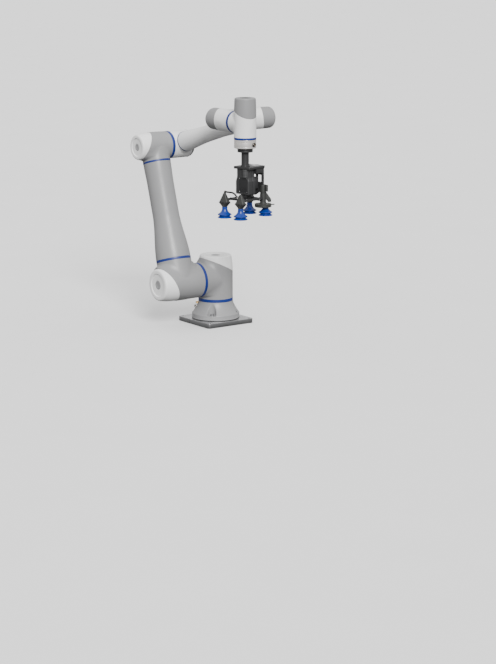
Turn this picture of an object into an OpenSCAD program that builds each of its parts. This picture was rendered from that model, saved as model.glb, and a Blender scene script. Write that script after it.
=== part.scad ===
// Six-axis collaborative robot arm on a square mounting plate, with a four-cup
// vacuum gripper. Millimetres, +Z up, origin at the centre of the plate's underside.
// Every joint is the same kind of module: a housing with an end cap, a strain-wave
// reducer and a motor inside, and a blue seal ring where the next link turns.

/* [Mounting plate] */
// Side of the square plate
plate_side = 240; // [220:1:300]
// Thickness of the plate
plate_t = 20; // [10:1:25]
// Radius of the plate's corners
plate_corner_r = 12; // [3:1:25]
// Centre distance of the plate's corner holes
plate_hole_pitch = 210; // [200:1:212]
// Diameter of the plate's corner holes
plate_hole_d = 11; // [9:0.5:13]

/* [Base] */
// Diameter of the base flange
base_d = 209; // [205:1:215]
// Bolt circle of the base flange
base_pcd = 180; // [178:1:182]
// Height of the first joint's ring plane above the base's underside
ring_1_h = 85; // [80:1:90]

/* [Arm geometry] */
// Height of the shoulder axis above the base's underside
shoulder_h = 176.5; // [174:0.5:180]
// Length of the upper arm, axis to axis
upper_arm_l = 607; // [560:1:700]
// Length of the forearm, axis to axis
forearm_l = 568; // [520:1:650]
// Sideways distance from the first axis to the fifth
wrist_y = 191; // [188:1:194]
// Distance from the fourth joint's centre to the sixth axis
wrist_x = 125; // [124:1:128]
// Distance from the fifth axis down to the tool flange's face
flange_z = 108.4; // [106:0.2:112]

/* [Resting pose] */
// Lean of the upper arm, away from the forearm's side
lean = 17; // [0:1:30]
// Angle of the forearm from the vertical
forearm_tilt = 73.6; // [60:0.2:90]
// Turn of the tool flange about the sixth axis
tool_turn = 13.5; // [0:0.5:45]

/* [Housings] */
// Outer radius of the first and second joints' housings
big_r = 76; // [75:0.5:77]
// Outer radius of the elbow's housing
elbow_r = 60.5; // [59:0.5:62]
// Outer radius of the wrist housings
wrist_r = 46; // [45:0.5:47]
// Wall of the housings
wall = 4.5; // [4:0.5:6]
// Tilt of the seam between a housing and its cap
seam_tilt = 26; // [20:1:28]
// Width of a blue seal ring
ring_w = 10.2; // [7:0.2:12]

/* [Gripper] */
// Distance between the two cups of one arm
cup_pitch_x = 87; // [80:1:90]
// Distance between the two cup arms
cup_pitch_y = 157; // [150:1:180]
// Diameter of a suction cup's lip
cup_d = 55; // [50:1:58]
// Distance from the tool flange's face down to the cups' lips
cup_drop = 279; // [277:1:284]

/* [Hidden] */
$fn = 96;
gap = 0.3;
running = 0.05;

// ---------- the six joint modules ----------
// In a joint's own frame the ring's middle is z = 0 and the cap is towards +Z.
joint_r = [big_r, big_r, elbow_r, wrist_r, wrist_r, wrist_r];
cap_end = [196.5, 205, 154.5, 161, 165.5, 168.5];
seam_at = [152, 163, 120, 114, 115, 106];
// direction in which each cap is longest, away from the housing's neck
long_side = [90, -90, 90, -90, -90, 0];
reducer_l = [42, 42, 34, 28, 28, 28];
motor_l = [46, 46, 34, 34, 34, 34];

// distances along each joint's axis from its ring to the link it sits on
ring_2_out = 98.5;
arm_to_ring_2 = 103;
arm_to_ring_3 = 67;
ring_3_to_forearm = 60.5;
forearm_to_ring_4 = 58;
ring_4_to_wrist = 59;
wrist_to_ring_5 = 59;
ring_6_drop = 64;
neighbour_z = -ring_w / 2 - gap;
host_z = ring_w / 2 + gap;
web_t = 10;

base_z = plate_t;
shoulder_z = base_z + shoulder_h;
arm_y = -ring_2_out - arm_to_ring_2;
forearm_y = arm_y + arm_to_ring_3 + ring_3_to_forearm;
elbow_x = -upper_arm_l * sin(lean);
elbow_z = shoulder_z + upper_arm_l * cos(lean);
wrist_1_x = elbow_x + forearm_l * sin(forearm_tilt);
wrist_1_z = elbow_z + forearm_l * cos(forearm_tilt);

module in_upper_arm() { translate([0, arm_y, shoulder_z]) rotate([0, -lean, 0]) children(); }
module in_forearm() { translate([elbow_x, forearm_y, elbow_z]) rotate([0, forearm_tilt, 0]) children(); }
module in_wrist_1() { translate([wrist_1_x, -wrist_y, wrist_1_z]) children(); }
module in_wrist_2() { in_wrist_1() translate([wrist_x, 0, 0]) children(); }
module in_tool() { in_wrist_2() translate([0, 0, -flange_z]) rotate([0, 0, tool_turn]) children(); }

module in_joint(n) {
    if (n == 1) translate([0, 0, base_z + ring_1_h]) children();
    if (n == 2) in_upper_arm() translate([0, arm_to_ring_2, 0]) rotate([90, 0, 0]) children();
    if (n == 3) in_upper_arm() translate([0, arm_to_ring_3, upper_arm_l]) rotate([90, 0, 0]) children();
    if (n == 4) in_forearm() translate([0, -forearm_to_ring_4, forearm_l]) rotate([-90, 0, 0]) children();
    if (n == 5) in_wrist_1() translate([wrist_to_ring_5, 0, 0]) rotate([0, -90, 0]) children();
    if (n == 6) in_wrist_2() translate([0, 0, -ring_6_drop]) children();
}

function r_of(n) = joint_r[n - 1];
function hub_r(n) = r_of(n) * 0.5;
function shaft_r(n) = r_of(n) * 0.2;
function hub_top(n) = host_z + 4 + reducer_l[n - 1] * 0.55;
function reducer_top(n) = host_z + 4 + reducer_l[n - 1];
function motor_top(n) = reducer_top(n) + 1 + motor_l[n - 1];

// ---------- general shapes ----------
module tube(r_out, r_in, z0, z1) {
    translate([0, 0, z0]) difference() {
        cylinder(r = r_out, h = z1 - z0);
        translate([0, 0, -1]) cylinder(r = r_in, h = z1 - z0 + 2);
    }
}

module bar(r, z0, z1) {
    translate([0, 0, z0]) cylinder(r = r, h = z1 - z0);
}

// points of a quarter arc about [x, z], swept between two angles
function arc(x, z, r, a0, a1, steps = 8) =
    [for (i = [0 : steps]) let (a = a0 + (a1 - a0) * i / steps) [x + r * cos(a), z + r * sin(a)]];

// eases from 0 to 1 as t goes from 0 to 1
function ease(t) = (1 - cos(180 * min(1, max(0, t)))) / 2;

// keeps the side of a joint's seam plane that is towards the ring (side -1) or the cap (side +1)
module seam_side(n, side) {
    reach = 4 * big_r;
    translate([0, 0, seam_at[n - 1] + side * gap / 2]) rotate([0, 0, long_side[n - 1]])
        rotate([0, seam_tilt, 0]) translate([-reach / 2, -reach / 2, side > 0 ? 0 : -reach])
            cube([reach, reach, reach]);
}

// ---------- pieces that every joint has ----------
module seal_ring(n) {
    color("royalblue") in_joint(n) tube(r_of(n) + 0.2, r_of(n) - 9, -ring_w / 2, ring_w / 2);
}

// circular spline and its carrier, seated in the housing
module reducer(n) {
    color("silver") in_joint(n)
        tube(r_of(n) - wall - gap / 2, hub_r(n) + running, host_z + 4, reducer_top(n));
}

// wound stator, with the brake coil and the round servo board behind it
module motor(n) {
    r_in = r_of(n) - wall - gap / 2;
    color("goldenrod") in_joint(n) {
        tube(r_in, r_of(n) * 0.56, reducer_top(n) + 1, motor_top(n));
        tube(r_of(n) * 0.62, shaft_r(n) + 2, motor_top(n) + 6, motor_top(n) + 18);
        tube(r_of(n) * 0.78, shaft_r(n) + 2, motor_top(n) + 20, motor_top(n) + 23);
    }
}

// hollow shaft with the wave generator at one end and the magnet drum in the stator
module rotor(n) {
    color("dimgray") in_joint(n) difference() {
        union() {
            bar(shaft_r(n), hub_top(n) - 12, motor_top(n) + 26);
            bar(hub_r(n) - 1, hub_top(n) + 1, reducer_top(n) - 1);
            bar(r_of(n) * 0.54, reducer_top(n) + 3, motor_top(n) - 2);
            bar(shaft_r(n) + 8, motor_top(n) + 1, motor_top(n) + 5);
        }
        bar(shaft_r(n) - 3, 0, motor_top(n) + 40);
    }
}

// web across a link's neck, and the hub that turns in the reducer
module output_hub(n) {
    difference() {
        union() {
            bar(r_of(n) - wall, neighbour_z - web_t, neighbour_z);
            bar(hub_r(n), neighbour_z - web_t, hub_top(n));
        }
        bar(shaft_r(n) + 1, neighbour_z - web_t - 1, hub_top(n) + 1);
        for (a = [30 : 60 : 330]) rotate([0, 0, a]) translate([r_of(n) * 0.68, 0, neighbour_z - web_t - 1])
            cylinder(r = r_of(n) * 0.04, h = web_t + 2, $fn = 24);
    }
}

// outline of a cap, closed at its end with a rounded rim, a shallow dish and a plug seat
function cap_outline(n, end_r, rim_r) = let (r = r_of(n), top = cap_end[n - 1]) concat(
    [[0, host_z], [r, host_z], [r, seam_at[n - 1] - r * 0.2]],
    arc(end_r - rim_r, top - rim_r, rim_r, 0, 90),
    [[r * 0.64, top], [r * 0.61, top - 2.5], [r * 0.26, top - 2.5], [r * 0.25, top - 6], [0, top - 6]]);

module cap(n, end_r, rim_r, tone) {
    inner_top = cap_end[n - 1] - 12;
    color(tone) in_joint(n) intersection() {
        seam_side(n, 1);
        difference() {
            rotate_extrude() polygon(cap_outline(n, end_r, rim_r));
            bar(end_r - wall - 1, 0, inner_top);
        }
    }
}

// cylinder of a joint's housing up to its seam, solid
module housing_body(n) {
    intersection() {
        seam_side(n, -1);
        bar(r_of(n), host_z, cap_end[n - 1]);
    }
}

module housing_bore(n) {
    bar(r_of(n) - wall, host_z - 1, cap_end[n - 1] + 1);
}

// neck that reaches from a link's own axis to the ring plane of joint n, a hair slimmer than the ring
neck_step = 0.4;
module neck(n, reach) {
    bar(r_of(n) - neck_step, neighbour_z - reach, neighbour_z);
}

module neck_bore(n, reach) {
    bar(r_of(n) - neck_step - wall, neighbour_z - reach, neighbour_z + 1);
}

// ---------- plate and base ----------
module mounting_plate() {
    hole_at = plate_hole_pitch / 2;
    color("dimgray") difference() {
        union() {
            inset = plate_side / 2 - plate_corner_r;
            translate([-inset, -plate_side / 2, 0]) cube([2 * inset, plate_side, plate_t]);
            translate([-plate_side / 2, -inset, 0]) cube([plate_side, 2 * inset, plate_t]);
            for (x = [-inset, inset], y = [-inset, inset])
                translate([x, y, 0]) cylinder(r = plate_corner_r, h = plate_t);
        }
        for (x = [-hole_at, hole_at], y = [-hole_at, hole_at])
            translate([x, y, -1]) cylinder(d = plate_hole_d, h = plate_t + 2);
        for (a = [45 : 90 : 315]) rotate([0, 0, a])
            translate([base_pcd / 2, 0, -1]) cylinder(d = 8, h = plate_t + 2);
        bar(20, -1, plate_t + 1);
    }
}

module base_gasket() {
    color("black") difference() {
        tube(base_d / 2 - 1.5, 62, base_z, base_z + 3);
        for (a = [45 : 90 : 315]) rotate([0, 0, a])
            translate([base_pcd / 2, 0, base_z - 1]) cylinder(d = 9, h = 6);
    }
}

// round pockets in the flare that leave room for a tool on each bolt
pocket_r = 20;
pocket_z = 23;

// outline of the flared base, from the flange's foot to the ring
flare_low = 23;
flare_high = ring_1_h + neighbour_z;
function flare_r(z) = big_r + (base_d / 2 - big_r) * pow(1 - (z - flare_low) / (flare_high - flare_low), 1.5);

module base_housing() {
    steps = 14;
    flare = [for (i = [0 : steps])
        let (z = flare_low + (flare_high - flare_low) * i / steps) [flare_r(z), z]];
    color("darkgray") {
        difference() {
            translate([0, 0, base_z]) rotate_extrude()
                polygon(concat([[0, 3], [base_d / 2, 3]], flare, [[0, flare_high]]));
            bar(big_r - wall - 1, base_z, base_z + flare_high - web_t);
            bar(shaft_r(1) + 1, base_z, base_z + flare_high + 1);
            for (a = [45 : 90 : 315]) rotate([0, 0, a]) {
                translate([base_pcd / 2, 0, base_z]) cylinder(d = 9, h = 30);
                translate([big_r + pocket_r + 1, 0, base_z + pocket_z])
                    cylinder(r = pocket_r, h = flare_high);
            }
            for (i = [0, 1]) base_port(i) {
                translate([0, 0, -1]) cylinder(r = connector_r[i] - 2, h = 40);
                translate([0, 0, port_seat(i) - 0.3]) cylinder(r = connector_r[i] + 0.3, h = 20);
            }
        }
        in_joint(1) output_hub(1);
    }
}

module base_bolts() {
    color("black") for (a = [45 : 90 : 315]) rotate([0, 0, a]) translate([base_pcd / 2, 0, 0]) {
        difference() {
            union() {
                bar(3.95, 2, base_z + pocket_z);
                bar(6.5, base_z + pocket_z, base_z + pocket_z + 8);
            }
            translate([0, 0, base_z + pocket_z + 4]) cylinder(d = 7, h = 6, $fn = 6);
        }
    }
}

// two round sockets, one above the other, on the base's side
connector_heights = [53, 69];
connector_r = [7, 5.2];
connector_turn = -118;
port_root = 72;

function port_seat(i) = flare_r(connector_heights[i]) - port_root + 2;

module base_port(i) {
    rotate([0, 0, connector_turn]) translate([port_root, 0, base_z + connector_heights[i]]) rotate([0, 90, 0])
        children();
}

module base_connectors() {
    color("gold") for (i = [0, 1]) base_port(i) difference() {
        union() {
            bar(connector_r[i] - 2.1, 0, port_seat(i) + 6);
            bar(connector_r[i], port_seat(i), port_seat(i) + 9);
        }
        bar(connector_r[i] * 0.43, port_seat(i) + 2, port_seat(i) + 10);
    }
}

// ---------- shoulder ----------
module shoulder_housing() {
    color("darkgray") {
        difference() {
            union() {
                in_joint(1) housing_body(1);
                in_joint(2) neck(2, ring_2_out + neighbour_z);
            }
            in_joint(1) housing_bore(1);
            in_joint(2) neck_bore(2, ring_2_out + neighbour_z);
        }
        in_joint(2) output_hub(2);
    }
}

// ---------- upper arm ----------
lower_trim_s = 98;
lower_trim_w = 8;
upper_trim_s = upper_arm_l - 74;
upper_trim_w = 5.5;
tube_waist_r = 58;

module upper_arm_knuckle() {
    color("darkgray") difference() {
        union() {
            in_joint(2) housing_body(2);
            in_upper_arm() bar(big_r, 0, lower_trim_s - gap);
        }
        in_joint(2) housing_bore(2);
        in_upper_arm() bar(big_r - wall, 0, lower_trim_s + 1);
    }
}

// radius of the upper arm's tube at distance s from the shoulder axis
function tube_r(s) = let (high = tube_waist_r + (elbow_r - tube_waist_r) * ease((s - 430) / 110))
    high + (big_r - tube_waist_r) * (1 - ease((s - 100) / 210));

module upper_arm_tube() {
    s0 = lower_trim_s + lower_trim_w + gap;
    s1 = upper_trim_s - gap;
    steps = 24;
    outer = [for (i = [0 : steps]) let (s = s0 + (s1 - s0) * i / steps) [tube_r(s), s]];
    inner = [for (i = [steps : -1 : 0]) let (s = s0 + (s1 - s0) * i / steps) [tube_r(s) - wall, s]];
    color("darkgray") in_upper_arm() rotate_extrude() polygon(concat(outer, inner));
}

module upper_arm_trims() {
    color("royalblue") in_upper_arm() {
        tube(big_r + 0.2, big_r - wall, lower_trim_s, lower_trim_s + lower_trim_w);
        tube(elbow_r + 0.2, elbow_r - wall, upper_trim_s, upper_trim_s + upper_trim_w);
    }
}

module elbow_housing() {
    color("darkgray") difference() {
        union() {
            in_joint(3) housing_body(3);
            in_upper_arm() bar(elbow_r, upper_trim_s + upper_trim_w + gap, upper_arm_l);
        }
        in_joint(3) housing_bore(3);
        in_upper_arm() bar(elbow_r - wall, upper_trim_s, upper_arm_l);
    }
}

// ---------- forearm ----------
knuckle_end = ring_3_to_forearm + 38;
forearm_trim_s = 63;
forearm_trim_w = 3;
forearm_root_r = 44.5;
forearm_waist_r = 36;

module forearm_knuckle() {
    color("whitesmoke") {
        difference() {
            union() {
                in_joint(3) bar(elbow_r - neck_step, -knuckle_end, neighbour_z);
                in_forearm() bar(forearm_root_r, 5, forearm_trim_s - gap);
            }
            in_joint(3) bar(elbow_r - neck_step - wall, -knuckle_end - 1, neighbour_z - web_t);
            in_joint(3) bar(elbow_r + gap, -knuckle_end - 30, -knuckle_end);
            in_forearm() bar(forearm_root_r - wall, 8, forearm_trim_s + 1);
        }
        in_joint(3) output_hub(3);
    }
}

module forearm_rear_cap() {
    rim_r = 12;
    depth = 16;
    end_r = elbow_r - 3;
    color("darkgray") in_joint(3) translate([0, 0, -knuckle_end - gap]) mirror([0, 0, 1]) difference() {
        rotate_extrude() polygon(concat([[0, 0], [elbow_r, 0]],
            arc(end_r - rim_r, depth - rim_r, rim_r, 0, 90), [[0, depth]]));
        bar(end_r - rim_r, -1, depth - wall);
    }
}

module forearm_trim() {
    color("navy") in_forearm() tube(forearm_root_r + 0.2, forearm_root_r - wall, forearm_trim_s,
        forearm_trim_s + forearm_trim_w);
}

// radius of the forearm's tube at distance s from the elbow axis
function forearm_r(s) = forearm_waist_r + (forearm_root_r - forearm_waist_r) * (1 - ease((s - 40) / 200))
    + (wrist_r - 2.5 - forearm_waist_r) * ease((s - 320) / 200);

module forearm_shell() {
    s0 = forearm_trim_s + forearm_trim_w + gap;
    steps = 24;
    outer = [for (i = [0 : steps]) let (s = s0 + (forearm_l - s0) * i / steps) [forearm_r(s), s]];
    inner = [for (i = [steps : -1 : 0]) let (s = s0 + (forearm_l - s0) * i / steps) [forearm_r(s) - wall, s]];
    color("whitesmoke") difference() {
        union() {
            in_joint(4) housing_body(4);
            in_forearm() rotate_extrude() polygon(concat(outer, [[0, forearm_l], [0, s0]]));
        }
        in_joint(4) housing_bore(4);
        in_forearm() rotate_extrude() polygon(concat([[0, s0 - 1], [forearm_r(s0) - wall, s0 - 1]],
            [for (i = [steps : -1 : 0]) inner[i]], [[0, forearm_l]]));
    }
}

// ---------- wrists ----------
module wrist_1_housing() {
    color("whitesmoke") {
        difference() {
            union() {
                in_joint(5) housing_body(5);
                in_joint(4) neck(4, ring_4_to_wrist + neighbour_z);
            }
            in_joint(5) housing_bore(5);
            in_joint(4) neck_bore(4, ring_4_to_wrist + neighbour_z);
        }
        in_joint(4) output_hub(4);
    }
}

module wrist_2_housing() {
    neck_reach = wrist_x - wrist_to_ring_5 + neighbour_z;
    color("whitesmoke") {
        difference() {
            union() {
                in_joint(6) housing_body(6);
                in_joint(5) neck(5, neck_reach);
            }
            in_joint(6) housing_bore(6);
            in_joint(5) neck_bore(5, neck_reach);
        }
        in_joint(5) output_hub(5);
    }
}

// ---------- tool flange, ISO 9409-1-50-4-M6 ----------
flange_t = flange_z - ring_6_drop + neighbour_z;
flange_boss_r = 31.5;
flange_boss_h = 7;
flange_pcd = 50;
flange_screw_r = 3;
pilot_r = 15.75;

module tool_flange() {
    ring_plane = flange_z - ring_6_drop;
    color("silver") in_tool() difference() {
        union() {
            bar(flange_boss_r, 0, flange_boss_h + 1);
            bar(wrist_r - 0.4, flange_boss_h, flange_t);
            bar(hub_r(6), flange_t - 1, ring_plane + hub_top(6));
        }
        bar(pilot_r, -1, 6);
        bar(shaft_r(6) + 1, 0, flange_z);
        for (a = [45 : 90 : 315]) rotate([0, 0, a]) translate([flange_pcd / 2, 0, -1])
            cylinder(r = flange_screw_r, h = 13);
        translate([0, flange_pcd / 2, -1]) cylinder(r = 3, h = 7);
        tool_port(-1) cylinder(r = 6, h = 30);
    }
}

module tool_port(depth) {
    translate([wrist_r - 14 + depth, 0, 23]) rotate([0, 90, 0]) children();
}

module tool_connector() {
    color("dimgray") in_tool() tool_port(0) difference() {
        union() {
            bar(5.8, 0, 14);
            bar(9.5, 14.2, 21.5);
        }
        bar(5, 12, 22.5);
    }
}

// ---------- vacuum gripper, hung from the tool flange ----------
// Heights in the tool frame are measured down from the flange's face.
adapter_t = 10;
adapter_r = 31;
post_r = 15;
post_l = 60;
deck_z = -adapter_t - post_l - 10;
deck_t = 10;
deck_x = 44;
deck_y0 = -24;
deck_y1 = 77;
pump_x = 36;
pump_y0 = -18;
pump_y1 = 24;
pump_bottom = deck_z - 105;
pump_shoulder = deck_z - 34;
pump_foot = deck_z - 50;
cup_z = -cup_drop;
cup_h = 46;
holder_h = 58;
holder_z = cup_z + cup_h;
motor_x = 17;
rail_z = holder_z + 24;

module at_cup(x, y) { translate([x * cup_pitch_x / 2, y * cup_pitch_y / 2, 0]) children(); }

// foot of the post that carries the fourth cup, a little inside that cup's own axis
foot_r = 35;
foot_z = cup_z + 36;
foot_t = 14;
foot_post_r = 13;
foot_post_top = cup_z + 130;
module at_foot() { at_cup(1, 1) translate([-6.5, -8, 0]) children(); }

module gripper_adapter() {
    color("black") in_tool() difference() {
        union() {
            bar(adapter_r, -adapter_t, 0);
            bar(pilot_r - 0.03, 0, 5);
            bar(post_r, -adapter_t - post_l, -adapter_t);
        }
        for (a = [45 : 90 : 315]) rotate([0, 0, a]) translate([flange_pcd / 2, 0, -adapter_t - 1]) {
            cylinder(r = 3.2, h = adapter_t + 2);
            cylinder(r = 5.2, h = 7);
        }
        bar(9, -adapter_t - post_l - 1, 6);
    }
}

module adapter_screws() {
    color("silver") in_tool() for (a = [45 : 90 : 315]) rotate([0, 0, a]) translate([flange_pcd / 2, 0, 0])
        difference() {
            union() {
                bar(2.95, -adapter_t + 6, 9);
                bar(4.9, -adapter_t, -adapter_t + 6);
            }
            translate([0, 0, -adapter_t - 1]) cylinder(d = 5, h = 4, $fn = 6);
        }
}

module gripper_deck() {
    color("black") in_tool() difference() {
        translate([-deck_x, deck_y0, deck_z]) cube([2 * deck_x, deck_y1 - deck_y0, deck_t]);
        translate([6, 54, deck_z - 1]) cylinder(r = 19, h = deck_t + 2);
        bar(7, deck_z - 1, deck_z + deck_t + 1);
    }
}

// bezel round the deck's opening
module deck_bezel() {
    color("dimgray") in_tool() translate([6, 54, 0]) difference() {
        union() {
            bar(18.8, deck_z, deck_z + deck_t);
            bar(21, deck_z + deck_t, deck_z + deck_t + 2);
        }
        bar(15, deck_z - 1, deck_z + deck_t + 3);
    }
}

module pump_body() {
    width = 2 * pump_x;
    neck_x = 30;
    front = [[-neck_x, deck_z - gap], [neck_x, deck_z - gap], [neck_x, pump_shoulder], [pump_x, pump_foot],
        [pump_x, pump_bottom], [-pump_x, pump_bottom], [-pump_x, pump_foot], [-neck_x, pump_shoulder]];
    color("dimgray") in_tool() difference() {
        translate([0, pump_y1, 0]) rotate([90, 0, 0]) linear_extrude(pump_y1 - pump_y0) polygon(front);
        translate([-pump_x + 14, pump_y0 - 1, pump_bottom + 6]) cube([width - 22, 4, 52]);
        translate([motor_x, pump_y0, pump_foot]) cylinder(r = 11.5, h = 100);
    }
}

module pump_motor() {
    color("gray") in_tool() translate([motor_x, pump_y0, 0]) bar(11, pump_foot + gap, deck_z - gap);
}

// upright frame behind the pump, with two windows, and its beam under the deck
frame_x0 = -30;
frame_x1 = 41;
frame_y0 = 63;
frame_t = 10;
module gripper_frame() {
    top = deck_z - gap;
    leg = foot_post_top + gap;
    outline = [[frame_x0, top], [frame_x1, top], [frame_x1, leg], [23, leg], [23, pump_bottom + 5],
        [-2, pump_bottom - 11], [frame_x0, pump_bottom - 11]];
    color("black") in_tool() {
        difference() {
            translate([0, frame_y0 + frame_t, 0]) rotate([90, 0, 0]) linear_extrude(frame_t) polygon(outline);
            for (x = [-20, 10]) translate([x, frame_y0 - 1, deck_z - 63]) cube([23, frame_t + 2, 34]);
        }
        translate([22, pump_y1 + gap, deck_z - 20])
            cube([frame_x1 - 22, frame_y0 - pump_y1 - 2 * gap, 20 - gap]);
    }
}

module valve_block() {
    color("black") in_tool() translate([-24, pump_y1 + gap, pump_bottom + 20]) cube([48, 32, 46]);
}

// two long arms under the pump, one on each side, that carry the cup holders
module cup_arms() {
    rail = 9;
    color("black") in_tool() {
        for (x = [-1, 1]) difference() {
            translate([x * cup_pitch_x / 2 - rail / 2, -cup_pitch_y / 2 + 12, rail_z])
                cube([rail, cup_pitch_y - 24, rail]);
            at_foot() bar(foot_post_r + gap, rail_z - 1, rail_z + rail + 1);
        }
        for (y = [-1, 1]) translate([-cup_pitch_x / 2 + rail / 2 + 0.1, y * 40 - rail / 2, rail_z])
            cube([cup_pitch_x - rail - 0.2, rail, rail]);
        translate([-14, -12, rail_z + rail + 0.1]) cube([28, 30, pump_bottom - rail_z - rail - 0.2]);
    }
}

// kite-shaped holders with a round stem over three cups, and a post with a round foot over the fourth
// outline of a holder seen from one side: widest low down and narrow at both ends
function kite(half) = [[-8, 0], [8, 0], [half, 15], [half, 20], [4, holder_h], [-4, holder_h], [-half, 20],
    [-half, 15]];

module cup_holders() {
    half = 21;
    depth = 22;
    color("dimgray") in_tool() {
        for (at = [[-1, -1], [1, -1], [-1, 1]]) at_cup(at[0], at[1]) translate([0, 0, holder_z])
            difference() {
            union() {
                intersection() {
                    translate([0, half, 0]) rotate([90, 0, 0]) linear_extrude(2 * half) polygon(kite(half));
                    translate([-half, 0, 0]) rotate([90, 0, 90]) linear_extrude(2 * half)
                        polygon(kite(depth / 2));
                }
                cylinder(r = 10.5, h = 34);
            }
            translate([0, 0, -1]) cylinder(r = 4, h = holder_h + 2);
            translate([-5, -half - 1, 23.8]) cube([10, 2 * half + 2, 9.4]);
        }
        difference() {
            at_foot() union() {
                bar(foot_r, foot_z, foot_z + foot_t);
                bar(foot_post_r, foot_z + 1, foot_post_top);
                translate([14, 0, 0]) bar(6, foot_post_top - 28, foot_post_top);
                rotate([0, 0, 45]) translate([0, 4, 0]) rotate([90, 0, 0]) linear_extrude(8)
                    polygon([[5, foot_z + 40], [foot_r - 13, foot_z + 20], [foot_r - 1, foot_z + 20],
                        [foot_r - 1, foot_z + 33], [5, foot_z + 74]]);
                rotate([0, 0, 45]) translate([20, 0, foot_z + foot_t - 4]) rotate([0, 90, 0])
                    cylinder(r = 2.5, h = 28);
            }
            at_cup(1, 1) bar(13, foot_z - 1, holder_z + 0.3);
        }
    }
}

// one-and-a-half-fold bellows cup: lip, pinch, fold and a slim neck
function cup_outline(r) = [[4, cup_h - gap], [10.5, cup_h - gap], [10.5, 32], [13.5, 24], [20, 17.5],
    [r - 0.5, 13.2], [r - 0.5, 11.8], [r - 6, 7], [r, 1.5], [r, 0], [r - 2, 0], [r - 8.5, 7], [r - 3, 12],
    [18.5, 15], [11.5, 22], [4, 30]];

module suction_cups() {
    color("blue") in_tool() for (x = [-1, 1], y = [-1, 1]) at_cup(x, y) translate([0, 0, cup_z])
        rotate_extrude() polygon(cup_outline(cup_d / 2));
}

// hose that bends down from the first holder to the second, and two straight ones from the third to the post
hose_r = 3.5;
hose_bend_r = 35;
module vacuum_hoses() {
    bend_end = 32;
    straight = 36.5;
    color("black") in_tool() {
        hose_z = holder_z + holder_h + hose_r + gap;
        translate([-7, -cup_pitch_y / 2, hose_z - hose_bend_r]) rotate([90, 0, 0]) {
            translate([-straight, hose_bend_r, 0]) rotate([0, 90, 0]) cylinder(r = hose_r, h = straight);
            intersection() {
                rotate_extrude() translate([hose_bend_r, 0]) circle(r = hose_r, $fn = 24);
                translate([0, 0, -hose_r - 1]) cube([100, 100, 2 * hose_r + 2]);
                rotate([0, 0, bend_end]) translate([0, 0, -hose_r - 1]) cube([100, 100, 2 * hose_r + 2]);
            }
            rotate([0, 0, bend_end]) translate([hose_bend_r, 0, 0]) rotate([90, 0, 0])
                cylinder(r = hose_r, h = 8);
        }
        for (z = [60, 67]) translate([-21.8, cup_pitch_y / 2 - 4, cup_z + z]) rotate([0, 90, 0])
            cylinder(r = 2, h = 45.4);
    }
}

mounting_plate();
base_gasket();
base_housing();
base_bolts();
base_connectors();
seal_ring(1);  // j1_seal_ring
shoulder_housing();
cap(1, big_r - 6, 8, "white");  // shoulder_cap
reducer(1);  // j1_reducer
motor(1);  // j1_motor
rotor(1);  // j1_rotor
seal_ring(2);  // j2_seal_ring
upper_arm_knuckle();
cap(2, big_r - 6, 12, "white");  // upper_arm_cap
reducer(2);  // j2_reducer
motor(2);  // j2_motor
rotor(2);  // j2_rotor
upper_arm_tube();
upper_arm_trims();
elbow_housing();
cap(3, elbow_r - 5, 10, "white");  // elbow_cap
seal_ring(3);  // j3_seal_ring
reducer(3);  // j3_reducer
motor(3);  // j3_motor
rotor(3);  // j3_rotor
forearm_knuckle();
forearm_rear_cap();
forearm_trim();
forearm_shell();
cap(4, wrist_r - 1, 12, "darkgray");  // forearm_cap
seal_ring(4);  // j4_seal_ring
reducer(4);  // j4_reducer
motor(4);  // j4_motor
rotor(4);  // j4_rotor
wrist_1_housing();
cap(5, wrist_r - 1, 12, "darkgray");  // wrist_1_cap
seal_ring(5);  // j5_seal_ring
reducer(5);  // j5_reducer
motor(5);  // j5_motor
rotor(5);  // j5_rotor
wrist_2_housing();
cap(6, wrist_r - 2, 6, "darkgray");  // wrist_2_cap
seal_ring(6);  // j6_seal_ring
reducer(6);  // j6_reducer
motor(6);  // j6_motor
rotor(6);  // j6_rotor
tool_flange();
tool_connector();
gripper_adapter();
adapter_screws();
gripper_deck();
deck_bezel();
pump_body();
pump_motor();
gripper_frame();
valve_block();
cup_arms();
cup_holders();
suction_cups();
vacuum_hoses();
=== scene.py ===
"""Looks of a six-axis robot arm with a four-cup vacuum gripper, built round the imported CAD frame.

Lengths are in metres; MM turns millimetres into metres. Every joint has a local frame whose Z runs
from its blue ring towards its cap, and whose X points away from the neck of its housing.
"""

from math import acos, ceil, cos, pi, radians, sin, sqrt, tan

import bmesh
import bpy
import numpy as np
from mathutils import Matrix, Vector


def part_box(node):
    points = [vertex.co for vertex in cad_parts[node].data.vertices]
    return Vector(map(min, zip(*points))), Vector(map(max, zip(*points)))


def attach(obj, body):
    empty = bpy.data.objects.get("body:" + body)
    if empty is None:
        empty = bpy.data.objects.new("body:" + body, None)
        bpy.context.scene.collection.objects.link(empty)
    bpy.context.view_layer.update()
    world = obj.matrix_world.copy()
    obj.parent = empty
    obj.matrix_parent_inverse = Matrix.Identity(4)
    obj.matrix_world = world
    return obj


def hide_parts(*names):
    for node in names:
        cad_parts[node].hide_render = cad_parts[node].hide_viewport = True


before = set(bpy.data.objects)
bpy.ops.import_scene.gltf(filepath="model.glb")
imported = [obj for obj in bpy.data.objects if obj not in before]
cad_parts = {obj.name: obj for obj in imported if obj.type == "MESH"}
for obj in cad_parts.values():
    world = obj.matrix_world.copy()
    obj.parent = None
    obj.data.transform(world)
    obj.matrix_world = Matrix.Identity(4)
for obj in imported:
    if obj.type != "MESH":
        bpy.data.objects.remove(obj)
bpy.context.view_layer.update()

MM = 0.001
X, Y, Z = Vector((1, 0, 0)), Vector((0, 1, 0)), Vector((0, 0, 1))
GAP = 0.3 * MM
WALL = 4.5 * MM
SEAM_TILT = radians(26)
TOOL_TURN = radians(13.5)
JOINTS = range(1, 7)


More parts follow.
